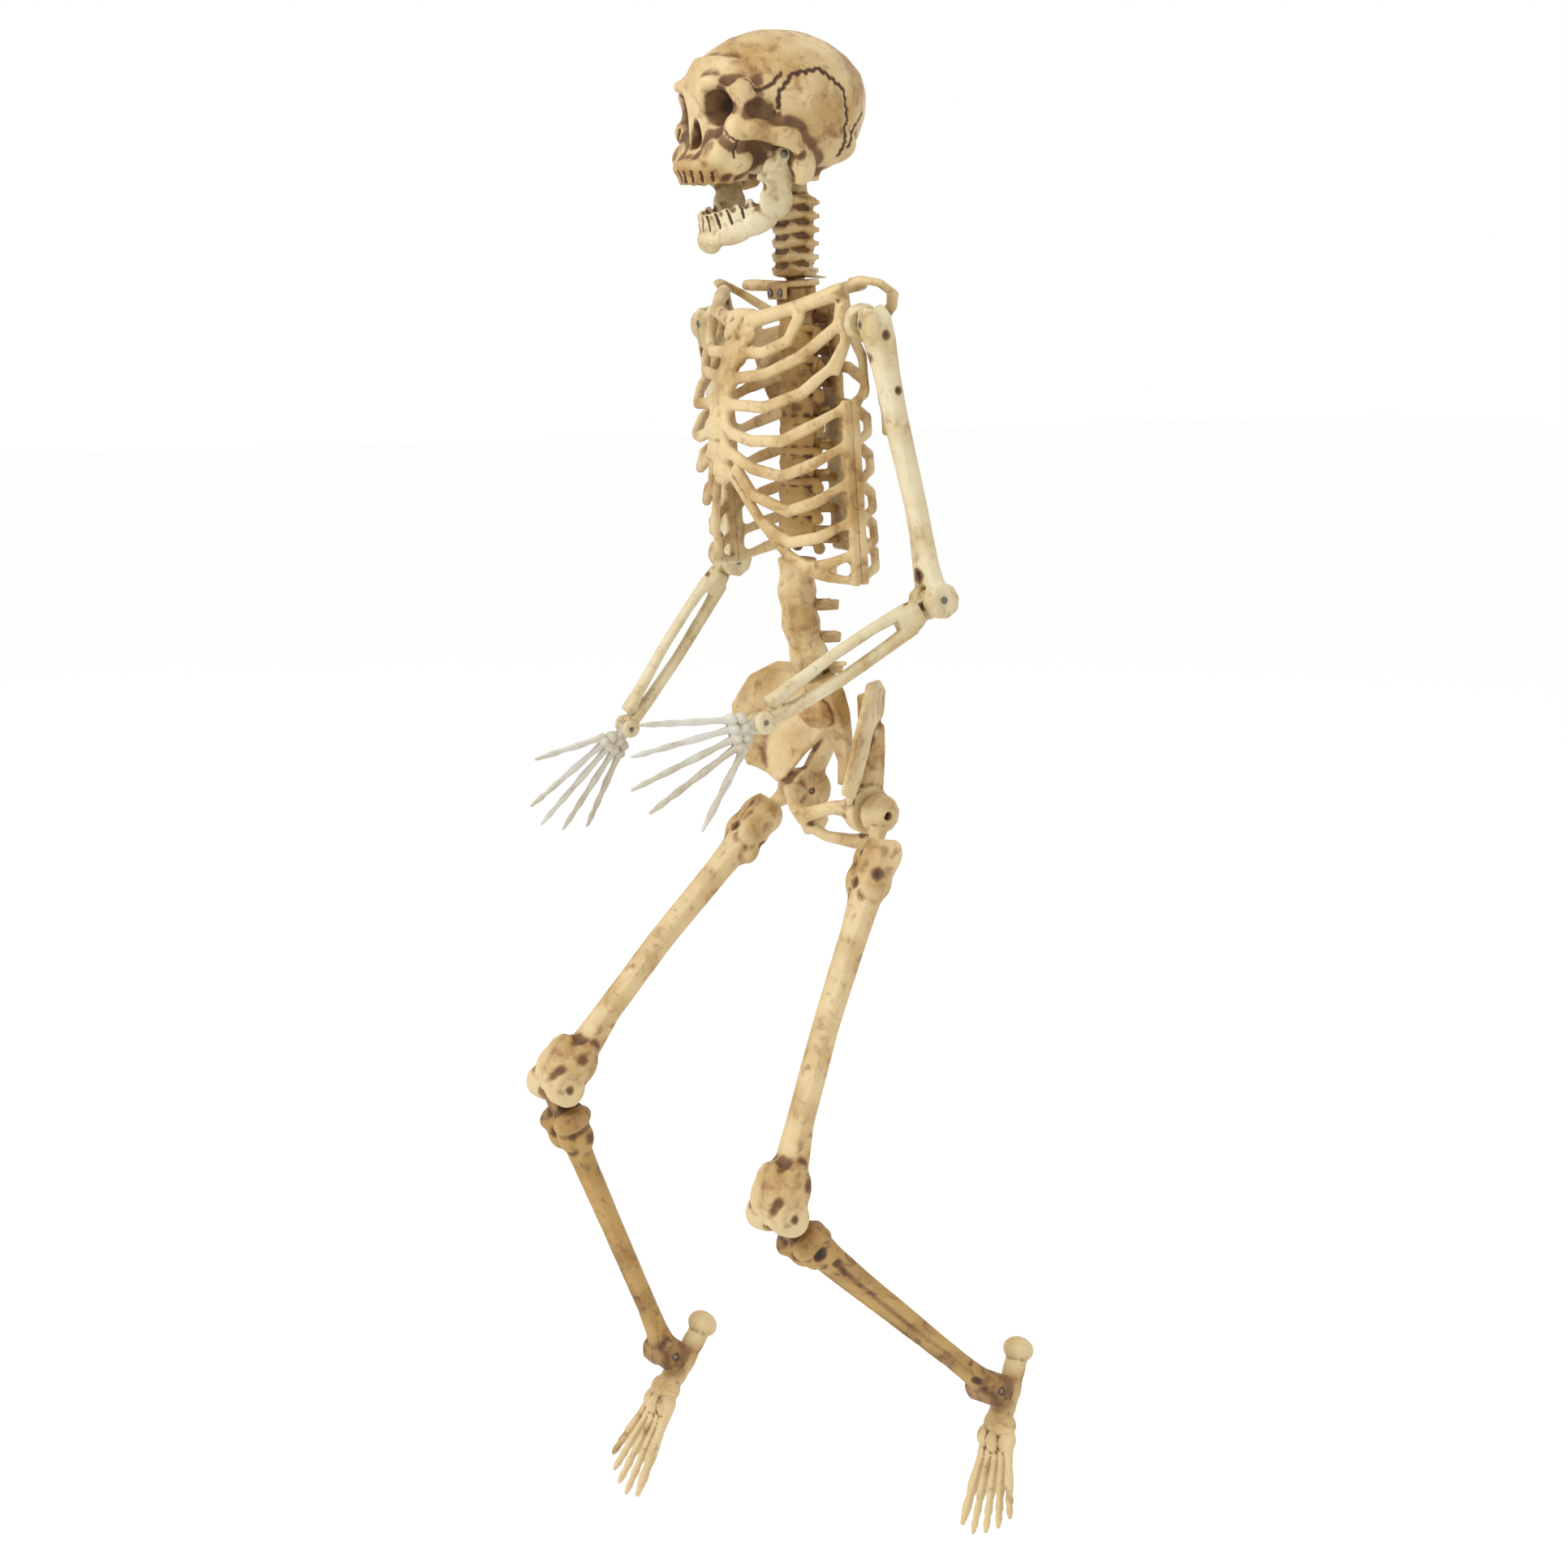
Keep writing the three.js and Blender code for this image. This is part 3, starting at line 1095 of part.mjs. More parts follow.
for (const [name, side] of bothSides) {
  const set = pose[name];

  const { x, y, z } = shoulder;
  const swing = joint(torso, `${name}_shoulder_swing`, [side * x, y, z], axisX, set.swing);
  piece(swing, `shoulder_knuckle_${name}`, shoulderKnuckle(side), finish.bonePale);
  const axleAt = [side * (shoulderAxle.middle - x), 0, 0];
  piece(swing, `shoulder_bolt_${name}`, screw(axisX, axleAt, bigScrew, shoulderAxle.grip), finish.zincSteel);

  const raise = joint(swing, `${name}_shoulder_raise`, [side * arm.pivotOut, 0, 0], axisY, -side * set.raise);
  seamed(raise, `humerus_${name}`, humerus(side), side, finish.bonePale);
  piece(raise, `shoulder_pin_${name}`, screw(axisY, [0, 0, 0], smallScrew, 26), finish.zincSteel);
  piece(raise, `elbow_bolt_${name}`, screw(axisX, [0, 0, -arm.upper], bigScrew, 33), finish.zincSteel);

  const elbow = joint(raise, `${name}_elbow`, [0, 0, -arm.upper], axisX, -set.elbow);
  piece(elbow, `forearm_${name}`, forearm(), finish.bonePale);
  piece(elbow, `wrist_bolt_${name}`, screw(axisX, [0, 0, -arm.fore], smallScrew, 17), finish.zincSteel);

  const wrist = joint(elbow, `${name}_wrist`, [0, 0, -arm.fore], axisX, set.wrist);
  piece(wrist, `hand_${name}`, handPiece(side), finish.bonePale);

  const hipSwing = joint(torso, `${name}_hip_swing`, [side * hip.x, hip.y, hip.z], axisX, -set.hipSwing);
  piece(hipSwing, `hip_knuckle_${name}`, hipKnuckle(side), finish.boneTan);
  const hipAxleAt = [side * (hipAxle.middle - hip.x), 0, 0];
  piece(hipSwing, `hip_bolt_${name}`, screw(axisX, hipAxleAt, bigScrew, hipAxle.grip), finish.zincSteel);

  const neckEnd = [side * leg.neckOut, 0, -leg.neckDrop];
  const hipRaise = joint(hipSwing, `${name}_hip_raise`, neckEnd, axisY, -side * set.hipRaise);
  seamed(hipRaise, `femur_${name}`, femur(side), side, finish.boneTan);
  piece(hipRaise, `hip_pin_${name}`, screw(axisY, [0, 0, 0], smallScrew, 30), finish.zincSteel);
  piece(hipRaise, `knee_bolt_${name}`, screw(axisX, [0, 0, -leg.thigh], bigScrew, 52), finish.zincSteel);

  const knee = joint(hipRaise, `${name}_knee`, [0, 0, -leg.thigh], axisX, set.knee);
  seamed(knee, `tibia_${name}`, tibia(side), side, finish.boneBrown);
  piece(knee, `ankle_bolt_${name}`, screw(axisX, [0, 0, -leg.shin], bigScrew, 33), finish.zincSteel);

  const ankle = joint(knee, `${name}_ankle`, [0, 0, -leg.shin], axisX, set.ankle);
  piece(ankle, `foot_${name}`, footPiece(side), finish.boneTan);
}

export default figure;
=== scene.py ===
import json
import math

import bmesh
import bpy
import numpy as np
from mathutils import Matrix, Vector


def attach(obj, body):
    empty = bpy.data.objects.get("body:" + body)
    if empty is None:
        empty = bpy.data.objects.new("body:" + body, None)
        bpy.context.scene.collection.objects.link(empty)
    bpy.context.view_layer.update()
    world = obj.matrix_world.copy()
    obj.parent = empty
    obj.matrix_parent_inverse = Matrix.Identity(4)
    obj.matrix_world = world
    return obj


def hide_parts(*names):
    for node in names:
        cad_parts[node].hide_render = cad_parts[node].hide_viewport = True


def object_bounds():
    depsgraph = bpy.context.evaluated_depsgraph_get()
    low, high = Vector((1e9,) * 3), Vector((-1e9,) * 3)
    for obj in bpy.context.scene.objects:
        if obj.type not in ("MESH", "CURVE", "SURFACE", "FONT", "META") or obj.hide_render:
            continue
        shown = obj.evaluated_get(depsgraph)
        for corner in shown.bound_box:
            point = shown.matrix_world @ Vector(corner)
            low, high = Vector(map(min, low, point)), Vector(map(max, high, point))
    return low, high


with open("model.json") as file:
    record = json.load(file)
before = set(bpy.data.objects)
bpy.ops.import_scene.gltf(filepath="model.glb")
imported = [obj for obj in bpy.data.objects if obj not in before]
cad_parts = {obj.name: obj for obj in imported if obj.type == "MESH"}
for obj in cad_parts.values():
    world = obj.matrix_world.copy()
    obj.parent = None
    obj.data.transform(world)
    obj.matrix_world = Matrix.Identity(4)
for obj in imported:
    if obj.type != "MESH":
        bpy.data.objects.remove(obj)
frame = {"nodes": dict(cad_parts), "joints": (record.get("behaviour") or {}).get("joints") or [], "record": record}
cad_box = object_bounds()
scene = bpy.context.scene
joints = {joint["name"]: joint for joint in frame["joints"]}
MM = 0.001
SIDES = (("left", 1), ("right", -1))


# ---------------------------------------------------------------------------- camera
# A long lens at chest height, in front of the figure's left shoulder and looking
# slightly down, so that the walking pose is seen nearly from the side.
camera_data = bpy.data.cameras.new("camera")
camera_data.sensor_width = 36
camera_data.lens = 55.711
camera_data.clip_end = 60
camera = bpy.data.objects.new("camera", camera_data)
scene.collection.objects.link(camera)
azimuth = math.radians(59.63)
pan = math.radians(-0.26)
pitch = math.radians(11.09)
sideways = Vector((math.cos(azimuth), math.sin(azimuth), 0))
ahead = Vector((-math.sin(azimuth), math.cos(azimuth), 0))
level = ahead * math.cos(pan) + sideways * math.sin(pan)
look = level * math.cos(pitch) + Vector((0, 0, -1)) * math.sin(pitch)
camera.rotation_euler = look.to_track_quat("-Z", "Y").to_euler()
camera.location = (2.0458, -1.1988, -0.0264)
scene.camera = camera


# ---------------------------------------------------------------------------- studio
# A plain pale floor under the hanging figure, a wide soft key light over the front,
# a fill from the other side and an even pale surround.
def paint(hex_colour):
    """A linear colour, with alpha, from an sRGB hex value."""
    channels = [int(hex_colour[i:i + 2], 16) / 255 for i in (1, 3, 5)]
    linear = [c / 12.92 if c <= 0.04045 else ((c + 0.055) / 1.055) ** 2.4 for c in channels]
    return (*linear, 1)


def add_node(material, kind, settings=None, **links):
    """Adds a shader node; a link's value is a socket to join on or a constant to set."""
    tree = material.node_tree
    node = tree.nodes.new(kind)
    for key, value in (settings or {}).items():
        setattr(node, key, value)
    for key, value in links.items():
        name = key.replace("_", " ")
        numbered = key[0] == "i" and key[1:].isdigit()
        socket = node.inputs[int(key[1:]) if numbered else name]
        if isinstance(value, bpy.types.NodeSocket):
            tree.links.new(value, socket)
        else:
            socket.default_value = value
    return node


def bare_material(name):
    material = bpy.data.materials.new(name)
    material.use_nodes = True
    material.node_tree.nodes.clear()
    return material


floor_paint = bare_material("pale_floor_paint")
shader = add_node(floor_paint, "ShaderNodeBsdfPrincipled", Base_Color=paint("#fdfdfc"),
                  Roughness=0.9)
add_node(floor_paint, "ShaderNodeOutputMaterial", Surface=shader.outputs[0])
bpy.ops.object.select_all(action="DESELECT")
bpy.ops.mesh.primitive_plane_add(size=40, location=(0, 0, cad_box[0][2] - 0.06))
floor = bpy.context.object
floor.name = "floor"
floor.data.materials.append(floor_paint)

scene.view_settings.view_transform = "Standard"
world = bpy.data.worlds.new("studio")
scene.world = world
world.use_nodes = True
world.node_tree.nodes["Background"].inputs["Color"].default_value = (1, 1, 1, 1)
world.node_tree.nodes["Background"].inputs["Strength"].default_value = 1.0

for name, turn, height, distance, size, power in (
    ("key", 8, 40, 3.2, 1.3, 46),
    ("fill", 80, 20, 3.6, 2.2, 6),
    ("rim", 215, 40, 3.4, 1.4, 6),
):
    light_data = bpy.data.lights.new(name, "AREA")
    light_data.size = size
    light_data.energy = power
    light = bpy.data.objects.new(name, light_data)
    scene.collection.objects.link(light)
    t, e = math.radians(turn), math.radians(height)
    away = Vector((math.sin(t) * math.cos(e), -math.cos(t) * math.cos(e), math.sin(e)))
    light.location = Vector((0, 0, -0.45)) + away * distance
    light.rotation_euler = (-away).to_track_quat("-Z", "Y").to_euler()


# ---------------------------------------------------------------------------- rib cage
# Two blow-moulded shells of bone-coloured plastic, front and rear, that meet on two
# flat side bars. A brown wash was wiped over them; their hollows are painted dark, with
# that wash and painted shade.
def merged_copy(node, name):
    """A new piece with a CAD node's solid, its loose triangles joined up."""
    mesh = frame["nodes"][node].data.copy()
    mesh.name = name
    mesh.materials.clear()
    shape = bmesh.new()
    shape.from_mesh(mesh)
    bmesh.ops.remove_doubles(shape, verts=shape.verts, dist=2e-6)
    shape.to_mesh(mesh)
    shape.free()
    piece = bpy.data.objects.new(name, mesh)
    scene.collection.objects.link(piece)
    return piece


def lump(place, at, size, turn=(0, 0, 0)):
    """An oval lump in millimetres in the frame `place`, to be fused on to a bone."""
    bpy.ops.mesh.primitive_uv_sphere_add(segments=20, ring_count=12, radius=1)
    piece = bpy.context.object
    x, y, z = (math.radians(t) for t in turn)
    spin = Matrix.Rotation(z, 4, "Z") @ Matrix.Rotation(y, 4, "Y")
    spin = spin @ Matrix.Rotation(x, 4, "X")
    stretch = Matrix.Diagonal((*[MM * s for s in size], 1))
    piece.data.transform(place @ Matrix.Translation([MM * c for c in at]) @ spin @ stretch)
    return piece


def fuse(piece, lumps):
    """Joins lumps to a piece; the remesh that follows makes them one skin."""
    bpy.ops.object.select_all(action="DESELECT")
    for each in lumps:
        each.select_set(True)
    piece.select_set(True)
    bpy.context.view_layer.objects.active = piece
    if lumps:
        bpy.ops.object.join()
    return piece


def use_modifier(piece, kind, **settings):
    bpy.ops.object.select_all(action="DESELECT")
    piece.select_set(True)
    bpy.context.view_layer.objects.active = piece
    modifier = piece.modifiers.new(kind.lower(), kind)
    for key, value in settings.items():
        setattr(modifier, key, value)
    bpy.ops.object.modifier_apply(modifier=modifier.name)


def neighbours_mean(points, edges, count):
    """Each point's mean of the points that it shares an edge with."""
    out = np.empty_like(points)
    for axis in range(3):
        total = np.bincount(edges[:, 0], points[edges[:, 1], axis], len(points))
        total += np.bincount(edges[:, 1], points[edges[:, 0], axis], len(points))
        out[:, axis] = total / count
    return out


def normals_of(mesh):
    normals = np.empty(len(mesh.vertices) * 3, np.float32)
    mesh.vertex_normals.foreach_get("vector", normals)
    return normals.reshape(-1, 3).astype(float)


def offset(piece, distance):
    """Moves the skin out along its normals, in mm."""
    points = np.empty(len(piece.data.vertices) * 3, np.float32)
    piece.data.vertices.foreach_get("co", points)
    points += normals_of(piece.data).ravel().astype(np.float32) * np.float32(distance * MM)
    piece.data.vertices.foreach_set("co", points)
    piece.data.update()


def drawn_on(skin, path, step):
    """Spots a step apart along a path of points, each moved to the nearest point of the skin."""
    path = np.asarray(path, float)
    lengths = np.linalg.norm(np.diff(path, axis=0), axis=1)
    far = np.concatenate(([0], np.cumsum(lengths)))
    spots = np.arange(0, far[-1] + step, step)
    line = np.stack([np.interp(spots, far, path[:, axis]) for axis in range(3)], axis=1)
    line = [skin[np.argmin(((skin - spot) ** 2).sum(axis=1))] for spot in line]
    return np.array(line)


def reshape(piece, change, place=Matrix.Identity(4)):
    """Moves a piece's vertices by a function of their places, in mm in the frame `place`."""
    for vertex in piece.data.vertices:
        at = place.inverted_safe() @ vertex.co / MM
        vertex.co = place @ (Vector(change(*at)) * MM)
    return piece


EASE = 0.6                              # share of the way to its neighbours' mean in a round
# Levels of the map of brown wash and painted shade that darkens the hollows:
WASH_SHADE_BARE, WASH_SHADE_LIMIT = 0.5, 0.84       # on flat skin, and in a hollow with no pit or groove
WASH_SHADE_BROAD, BROAD_LIMIT = 0.34, 0.6     # share of the broad hollows, and mm that count


def mould(piece, voxel, rounds, swell, place=Matrix.Identity(4), pits=(), grooves=(),
          rough=0.25, blend=0):
    """Turns a faceted solid into a moulded bone and records where the brown wash and the painted shade gather.

    voxel: skin fineness in mm. rounds: how much its corners are rounded. swell: mm added
    back, as a number or as a function of the places on the skin. pits: (x, y, z, radius,
    depth, stain), all but the stain in mm; the stain is how dark the pit is painted, with the
    brown wash and painted shade. grooves: (points, width, depth) in mm; their points are drawn
    on to the nearest skin, and each groove is painted dark along its line, with the wash and
    painted shade. rough: share of the uneven waves. blend: mm by which the skin is let out and
    taken in again, which fills creases between fused forms.
    """
    use_modifier(piece, "REMESH", mode="VOXEL", voxel_size=voxel * MM)
    if blend:
        offset(piece, blend)
        use_modifier(piece, "REMESH", mode="VOXEL", voxel_size=voxel * MM)
        offset(piece, -blend)
    mesh = piece.data
    count = len(mesh.vertices)
    points = np.empty(count * 3, np.float32)
    mesh.vertices.foreach_get("co", points)
    points = points.reshape(-1, 3).astype(float)
    edges = np.empty(len(mesh.edges) * 2, np.int32)
    mesh.edges.foreach_get("vertices", edges)
    edges = edges.reshape(-1, 2)
    valence = np.maximum(np.bincount(edges.ravel(), minlength=count), 1)
    for _ in range(rounds):
        points += EASE * (neighbours_mean(points, edges, valence) - points)
    mesh.vertices.foreach_set("co", points.astype(np.float32).ravel())
    mesh.update()
    normals = normals_of(mesh)
    local = np.array(place.inverted_safe())
    if callable(swell):
        swell = swell((points @ local[:3, :3].T + local[:3, 3]) / MM)[:, None]
    points += normals * swell * MM

    # Uneven moulding: slow waves over the skin, a fraction of a millimetre high.
    waves = np.zeros(count)
    for size, height in ((23, 0.6), (9.1, 0.3), (5.3, 0.2)):
        turned = points / (size * MM)
        mix = np.sin(turned[:, 0] * 2.1 + 1.3 * np.sin(turned[:, 1] * 1.7))
        mix += np.sin(turned[:, 1] * 2.3 + 1.1 * np.sin(turned[:, 2] * 1.9))
        mix += np.sin(turned[:, 2] * 1.9 + 1.2 * np.sin(turned[:, 0] * 2.2))
        waves += height * mix / 3
    points += normals * (waves * rough * MM)[:, None]

    # Hollows pressed into the skin, and lines cut along it; both are painted dark, with the brown wash and painted
    # shade.
    flat = points @ local[:3, :3].T + local[:3, 3]
    stain_and_shade = np.zeros(count)
    push = np.zeros(count)
    skin = flat / MM
    for x, y, z, radius, depth, pit_stain_and_shade in pits:
        away = np.linalg.norm(skin - (x, y, z), axis=1) / radius
        near = np.clip(1 - away ** 2, 0, 1)
        push += depth * near ** 1.5
        stain_and_shade = np.maximum(stain_and_shade, pit_stain_and_shade * near ** 0.7)
    for path, width, depth in grooves:
        for spot in drawn_on(skin, path, width * 0.45):
            near = np.flatnonzero(np.abs(skin - spot).max(axis=1) < width)
            gap = np.linalg.norm(skin[near] - spot, axis=1)
            line = np.clip(1 - (gap / width) ** 2, 0, 1)
            push[near] = np.maximum(push[near], depth * line)
            stain_and_shade[near] = np.maximum(stain_and_shade[near], line ** 0.5)
    points -= normals * (push * MM)[:, None]
    mesh.vertices.foreach_set("co", points.astype(np.float32).ravel())
    mesh.update()

    # The brown wash and painted shade gather where the skin curves inwards, at a fine and at a broad scale: the
    # deeper the hollow, the darker it is painted.
    normals = normals_of(mesh)
    drift = points.copy()
    hollows = []
    for steps in (3, 22):
        for _ in range(steps):
            drift += EASE * (neighbours_mean(drift, edges, valence) - drift)
        hollows.append(np.einsum("ij,ij->i", drift - points, normals) / MM)
    fine, broad = hollows
    wash_and_shade = WASH_SHADE_BARE + fine + WASH_SHADE_BROAD * np.minimum(broad, BROAD_LIMIT)
    wash_and_shade = np.minimum(wash_and_shade, WASH_SHADE_LIMIT)
    wash_and_shade = np.clip(np.maximum(wash_and_shade, WASH_SHADE_BARE + (1 - WASH_SHADE_BARE) * stain_and_shade), 0, 1)
    layer = mesh.attributes.new("wash_and_shade", "FLOAT", "POINT")
    layer.data.foreach_set("value", wash_and_shade.astype(np.float32))
    layer = mesh.attributes.new("place", "FLOAT_VECTOR", "POINT")
    layer.data.foreach_set("vector", flat.astype(np.float32).ravel())
    mesh.polygons.foreach_set("use_smooth", np.ones(len(mesh.polygons), bool))
    return piece


def aged_and_shaded_bone_plastic(name, light, base, amber, deep, stains=0.5, gloss=0.48):
    """Moulded polyethylene in a bone colour under a wiped brown wash: pale on the ridges,
    amber in patches and streaks, dark in the hollows with the wash and painted shade, with a
    soft waxy gloss."""
    material = bare_material(name)
    place = add_node(material, "ShaderNodeAttribute", {"attribute_name": "place"})
    place = place.outputs["Vector"]
    wash_and_shade = add_node(material, "ShaderNodeAttribute", {"attribute_name": "wash_and_shade"}).outputs["Fac"]
    # Patches about 60 mm across, blotches of 14 mm, wiping streaks along the bone.
    patches = add_node(material, "ShaderNodeTexNoise", Vector=place, Scale=17.0,
                       Detail=3.0).outputs["Fac"]
    blotches = add_node(material, "ShaderNodeTexNoise", Vector=place, Scale=72.0, Detail=5.0,
                        Roughness=0.62, Distortion=0.8).outputs["Fac"]
    lengthways = add_node(material, "ShaderNodeMapping", Vector=place,
                          Scale=(1, 1, 0.09)).outputs[0]
    streaks = add_node(material, "ShaderNodeTexNoise", Vector=lengthways, Scale=420.0, Detail=4.0,
                       Roughness=0.6).outputs["Fac"]
    grain = add_node(material, "ShaderNodeTexNoise", Vector=place, Scale=1100.0,
                     Detail=2.0).outputs["Fac"]

    def ranged(value, low, high, top=1.0):
        return add_node(material, "ShaderNodeMapRange", Value=value, From_Min=low, From_Max=high,
                        To_Min=0.0, To_Max=top).outputs[0]

    def mixed(share, first, second):
        return add_node(material, "ShaderNodeMix", {"data_type": "RGBA"},
                        Factor=share, i6=first, i7=second).outputs[2]

    def sum_of(a, b, scale):
        return add_node(material, "ShaderNodeMath", {"operation": "MULTIPLY_ADD"},
                        i0=a, i1=scale, i2=b).outputs[0]

    colour = mixed(ranged(patches, 0.4, 0.62), paint(light), paint(base))
    colour = mixed(ranged(streaks, 0.56, 0.78, 0.35), colour, paint(amber))
    spotted = sum_of(patches, blotches, 0.45)
    colour = mixed(ranged(spotted, 0.74, 0.92, stains), colour, paint(amber))
    # The map of wash and painted shade, broken up by blotches, paints the hollows amber and then deep brown: the
    # brown wash left there and painted shade. Where it is low, on the ridges, the colour goes pale where the wash
    # is wiped off.
    broken = sum_of(blotches, wash_and_shade, 0.34)
    colour = mixed(ranged(broken, 0.70, 0.93, 0.85), colour, paint(amber))
    colour = mixed(ranged(broken, 0.86, 1.12, 0.92), colour, paint(deep))
    colour = mixed(ranged(broken, 0.60, 0.44, 0.45), colour, paint(light))
    sheen = add_node(material, "ShaderNodeMapRange", Value=broken, From_Min=0.5, From_Max=1.0,
                     To_Min=gloss, To_Max=gloss + 0.22).outputs[0]
    height = sum_of(grain, sum_of(streaks, blotches, 0.6), 0.35)
    bump = add_node(material, "ShaderNodeBump", Height=height, Strength=0.22,
                    Distance=0.0006).outputs[0]
    shader = add_node(material, "ShaderNodeBsdfPrincipled", Base_Color=colour, Roughness=sheen,
                      Normal=bump, IOR=1.5)
    add_node(material, "ShaderNodeOutputMaterial", Surface=shader.outputs[0])
    return material


# For each bone colour: light, base, amber and deep brown. The amber is also that of the stains and streaks; the
# amber and the deep brown paint the wash and the painted shade in the hollows.
tan_plastic = aged_and_shaded_bone_plastic(
    "tan_bone_plastic", "#cab385", "#ab8a53", "#784d1f", "#2a1607", 0.6)
pale_plastic = aged_and_shaded_bone_plastic(
    "pale_bone_plastic", "#cdc09e", "#b7a273", "#80592a", "#341d0a", 0.45)
brown_plastic = aged_and_shaded_bone_plastic(
    "brown_bone_plastic", "#ad8a4e", "#85602b", "#573512", "#211105", 0.85)
hand_plastic = aged_and_shaded_bone_plastic(
    "hand_bone_plastic", "#c6c3b8", "#b9b19c", "#866a40", "#3c2610", 0.25)


def finish_bone(piece, material, body, slot, *nodes):
    piece.data.materials.clear()
    piece.data.materials.append(material)
    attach(piece, body)
    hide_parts(*nodes)
    return piece


WORLD = Matrix.Identity(4)
TORSO_LEAN = 4.4        # degrees that the trunk leans back from upright
torso_place = Matrix.Rotation(math.radians(TORSO_LEAN), 4, "X")


def rib_fullness(skin):
    """The ribs are fuller than the side bars and the straps that touch other mouldings."""
    from_side = np.clip((114 - np.abs(skin[:, 0])) / 10, 0, 1)
    return 0.5 + 1.5 * from_side


def chest_front(z):
    """How far forward the breastbone stands at a height."""
    heights = (-182, -152, -134, -108, -84, -64, -44)
    fronts = (-93, -95, -95, -90, -82, -73, -63)
    return float(np.interp(z, heights, fronts))


# Height and half width of each segment of the breastbone, from the top down.
BREASTBONE = ((-46, 27), (-64, 21), (-86, 17), (-108, 20), (-132, 23), (-152, 20), (-172, 12))
for shell in ("rib_cage_front", "rib_cage_rear"):
    lumps = []
    if shell == "rib_cage_front":
        for z, half in BREASTBONE:
            lumps.append(lump(torso_place, (0, chest_front(z), z), (half, 5.5, 12)))
    bone = fuse(merged_copy(shell, f"{shell}_moulding"), lumps)
    bone = mould(bone, 1.45, 6, rib_fullness, torso_place, blend=1.6)
    finish_bone(bone, tan_plastic, "torso", "tan_bone", shell)

# ---------------------------------------------------------------------------- spine and collar
# Two stacks of moulded vertebrae, screwed to each other at the last ribs; the upper one
# carries the round collar that the neck stands in, and the lower one ends in the sacrum.
VERTEBRA = 29                       # height of one vertebra
DISC_WIDE, DISC_DEEP = 23, 21       # half width and half depth of its rim


def spine_discs(rows):
    """The rim of each vertebra's body, with a knob on each side where the ribs meet it."""
    out = []
    for y, z in rows:
        out.append(lump(torso_place, (0, y, z), (DISC_WIDE, DISC_DEEP, 5), (-6, 0, 0)))
        for each in (1, -1):
            out.append(lump(torso_place, (each * (DISC_WIDE - 2), y + 7, z - 7), (5, 6, 6)))
    return out


backbone = np.array([v.co for v in frame["nodes"]["thoracic_spine"].data.vertices]) / MM
backbone = backbone @ np.array(torso_place)[:3, :3]
rows = []
for z in np.arange(-46, -278, -VERTEBRA):
    near = backbone[np.abs(backbone[:, 2] - z) < 18]
    rows.append((float(near[:, 1].min()) + DISC_DEEP, float(z)))
discs = {"thoracic_spine": spine_discs(rows)}

for node, material, slot in (
    ("thoracic_spine", brown_plastic, "brown_bone"),
    ("lumbar_spine", tan_plastic, "tan_bone"),
    ("collar_band", tan_plastic, "tan_bone"),
):
    bone = fuse(merged_copy(node, f"{node}_moulding"), discs.get(node, []))
    bone = mould(bone, 1.2, 5, 0.35, torso_place)
    finish_bone(bone, material, "torso", slot, node)

# ------------------------------------------------------------------- shoulder blades and hips
# Thin blades and bowl-shaped hip wings with a rounded rim, moulded one for each side.
for name, _ in SIDES:
    node = f"scapula_{name}"
    bone = mould(merged_copy(node, f"{node}_moulding"), 1.2, 6, 0.35)
    finish_bone(bone, tan_plastic, "torso", "tan_bone", node)
    node = f"hip_bone_{name}"
    bone = mould(merged_copy(node, f"{node}_moulding"), 1.3, 6, 1.0, blend=3)
    finish_bone(bone, tan_plastic, "torso", "tan_bone", node)

# ---------------------------------------------------------------------------- neck
# A column of six knobby vertebrae in one moulding, which turns in the collar.
def without_spines(x, y, z):
    """Draws in the long spines at the back, but for the foot in the collar."""
    return (x, y if y < 14 or z < 4 else 14 + (y - 14) * 0.3, z)


NECK_RINGS, RING_STEP = 6, 13
rings = []
for level in range(NECK_RINGS):
    z = 9 + RING_STEP * level
    rings.append(lump(WORLD, (0, -3, z), (20.5, 19, 5.4), (10, 0, 0)))
    rings.append(lump(WORLD, (0, 15, z - 2), (6, 6, 4)))
    for each in (1, -1):
        rings.append(lump(WORLD, (each * 17, 6, z - 1), (6.5, 7, 4.4)))
        rings.append(lump(WORLD, (each * 14, -11, z + 1), (6, 6, 3.6)))
bone = reshape(merged_copy("neck", "neck_moulding"), without_spines)
bone = mould(fuse(bone, rings), 1.0, 6, 0.4, blend=1.5)
finish_bone(bone, tan_plastic, "neck", "tan_bone", "neck")

# ---------------------------------------------------------------------------- skull
# A hollow braincase with open eye and nose holes, in two mouldings, face and back, closed
# so that no seam shows, with pressed seams between the skull plates and a row of teeth.
def mirrored(points):
    return [(-x, y, z) for x, y, z in points]


def wandering(points, sway, pace):
    """A path with the small loops of a seam between skull plates, `sway` mm to each side."""
    out = []
    for a, b in zip(points[:-1], points[1:]):
        a, b = np.array(a, float), np.array(b, float)
        across = np.cross(b - a, (a + b) / 2 - (0, -20, 160))
        across /= np.linalg.norm(across)
        steps = max(2, int(np.linalg.norm(b - a) / pace))
        for i in range(steps):
            out.append(a + (b - a) * i / steps + across * sway * (1 if i % 2 else -1))
    return out + [np.array(points[-1], float)]


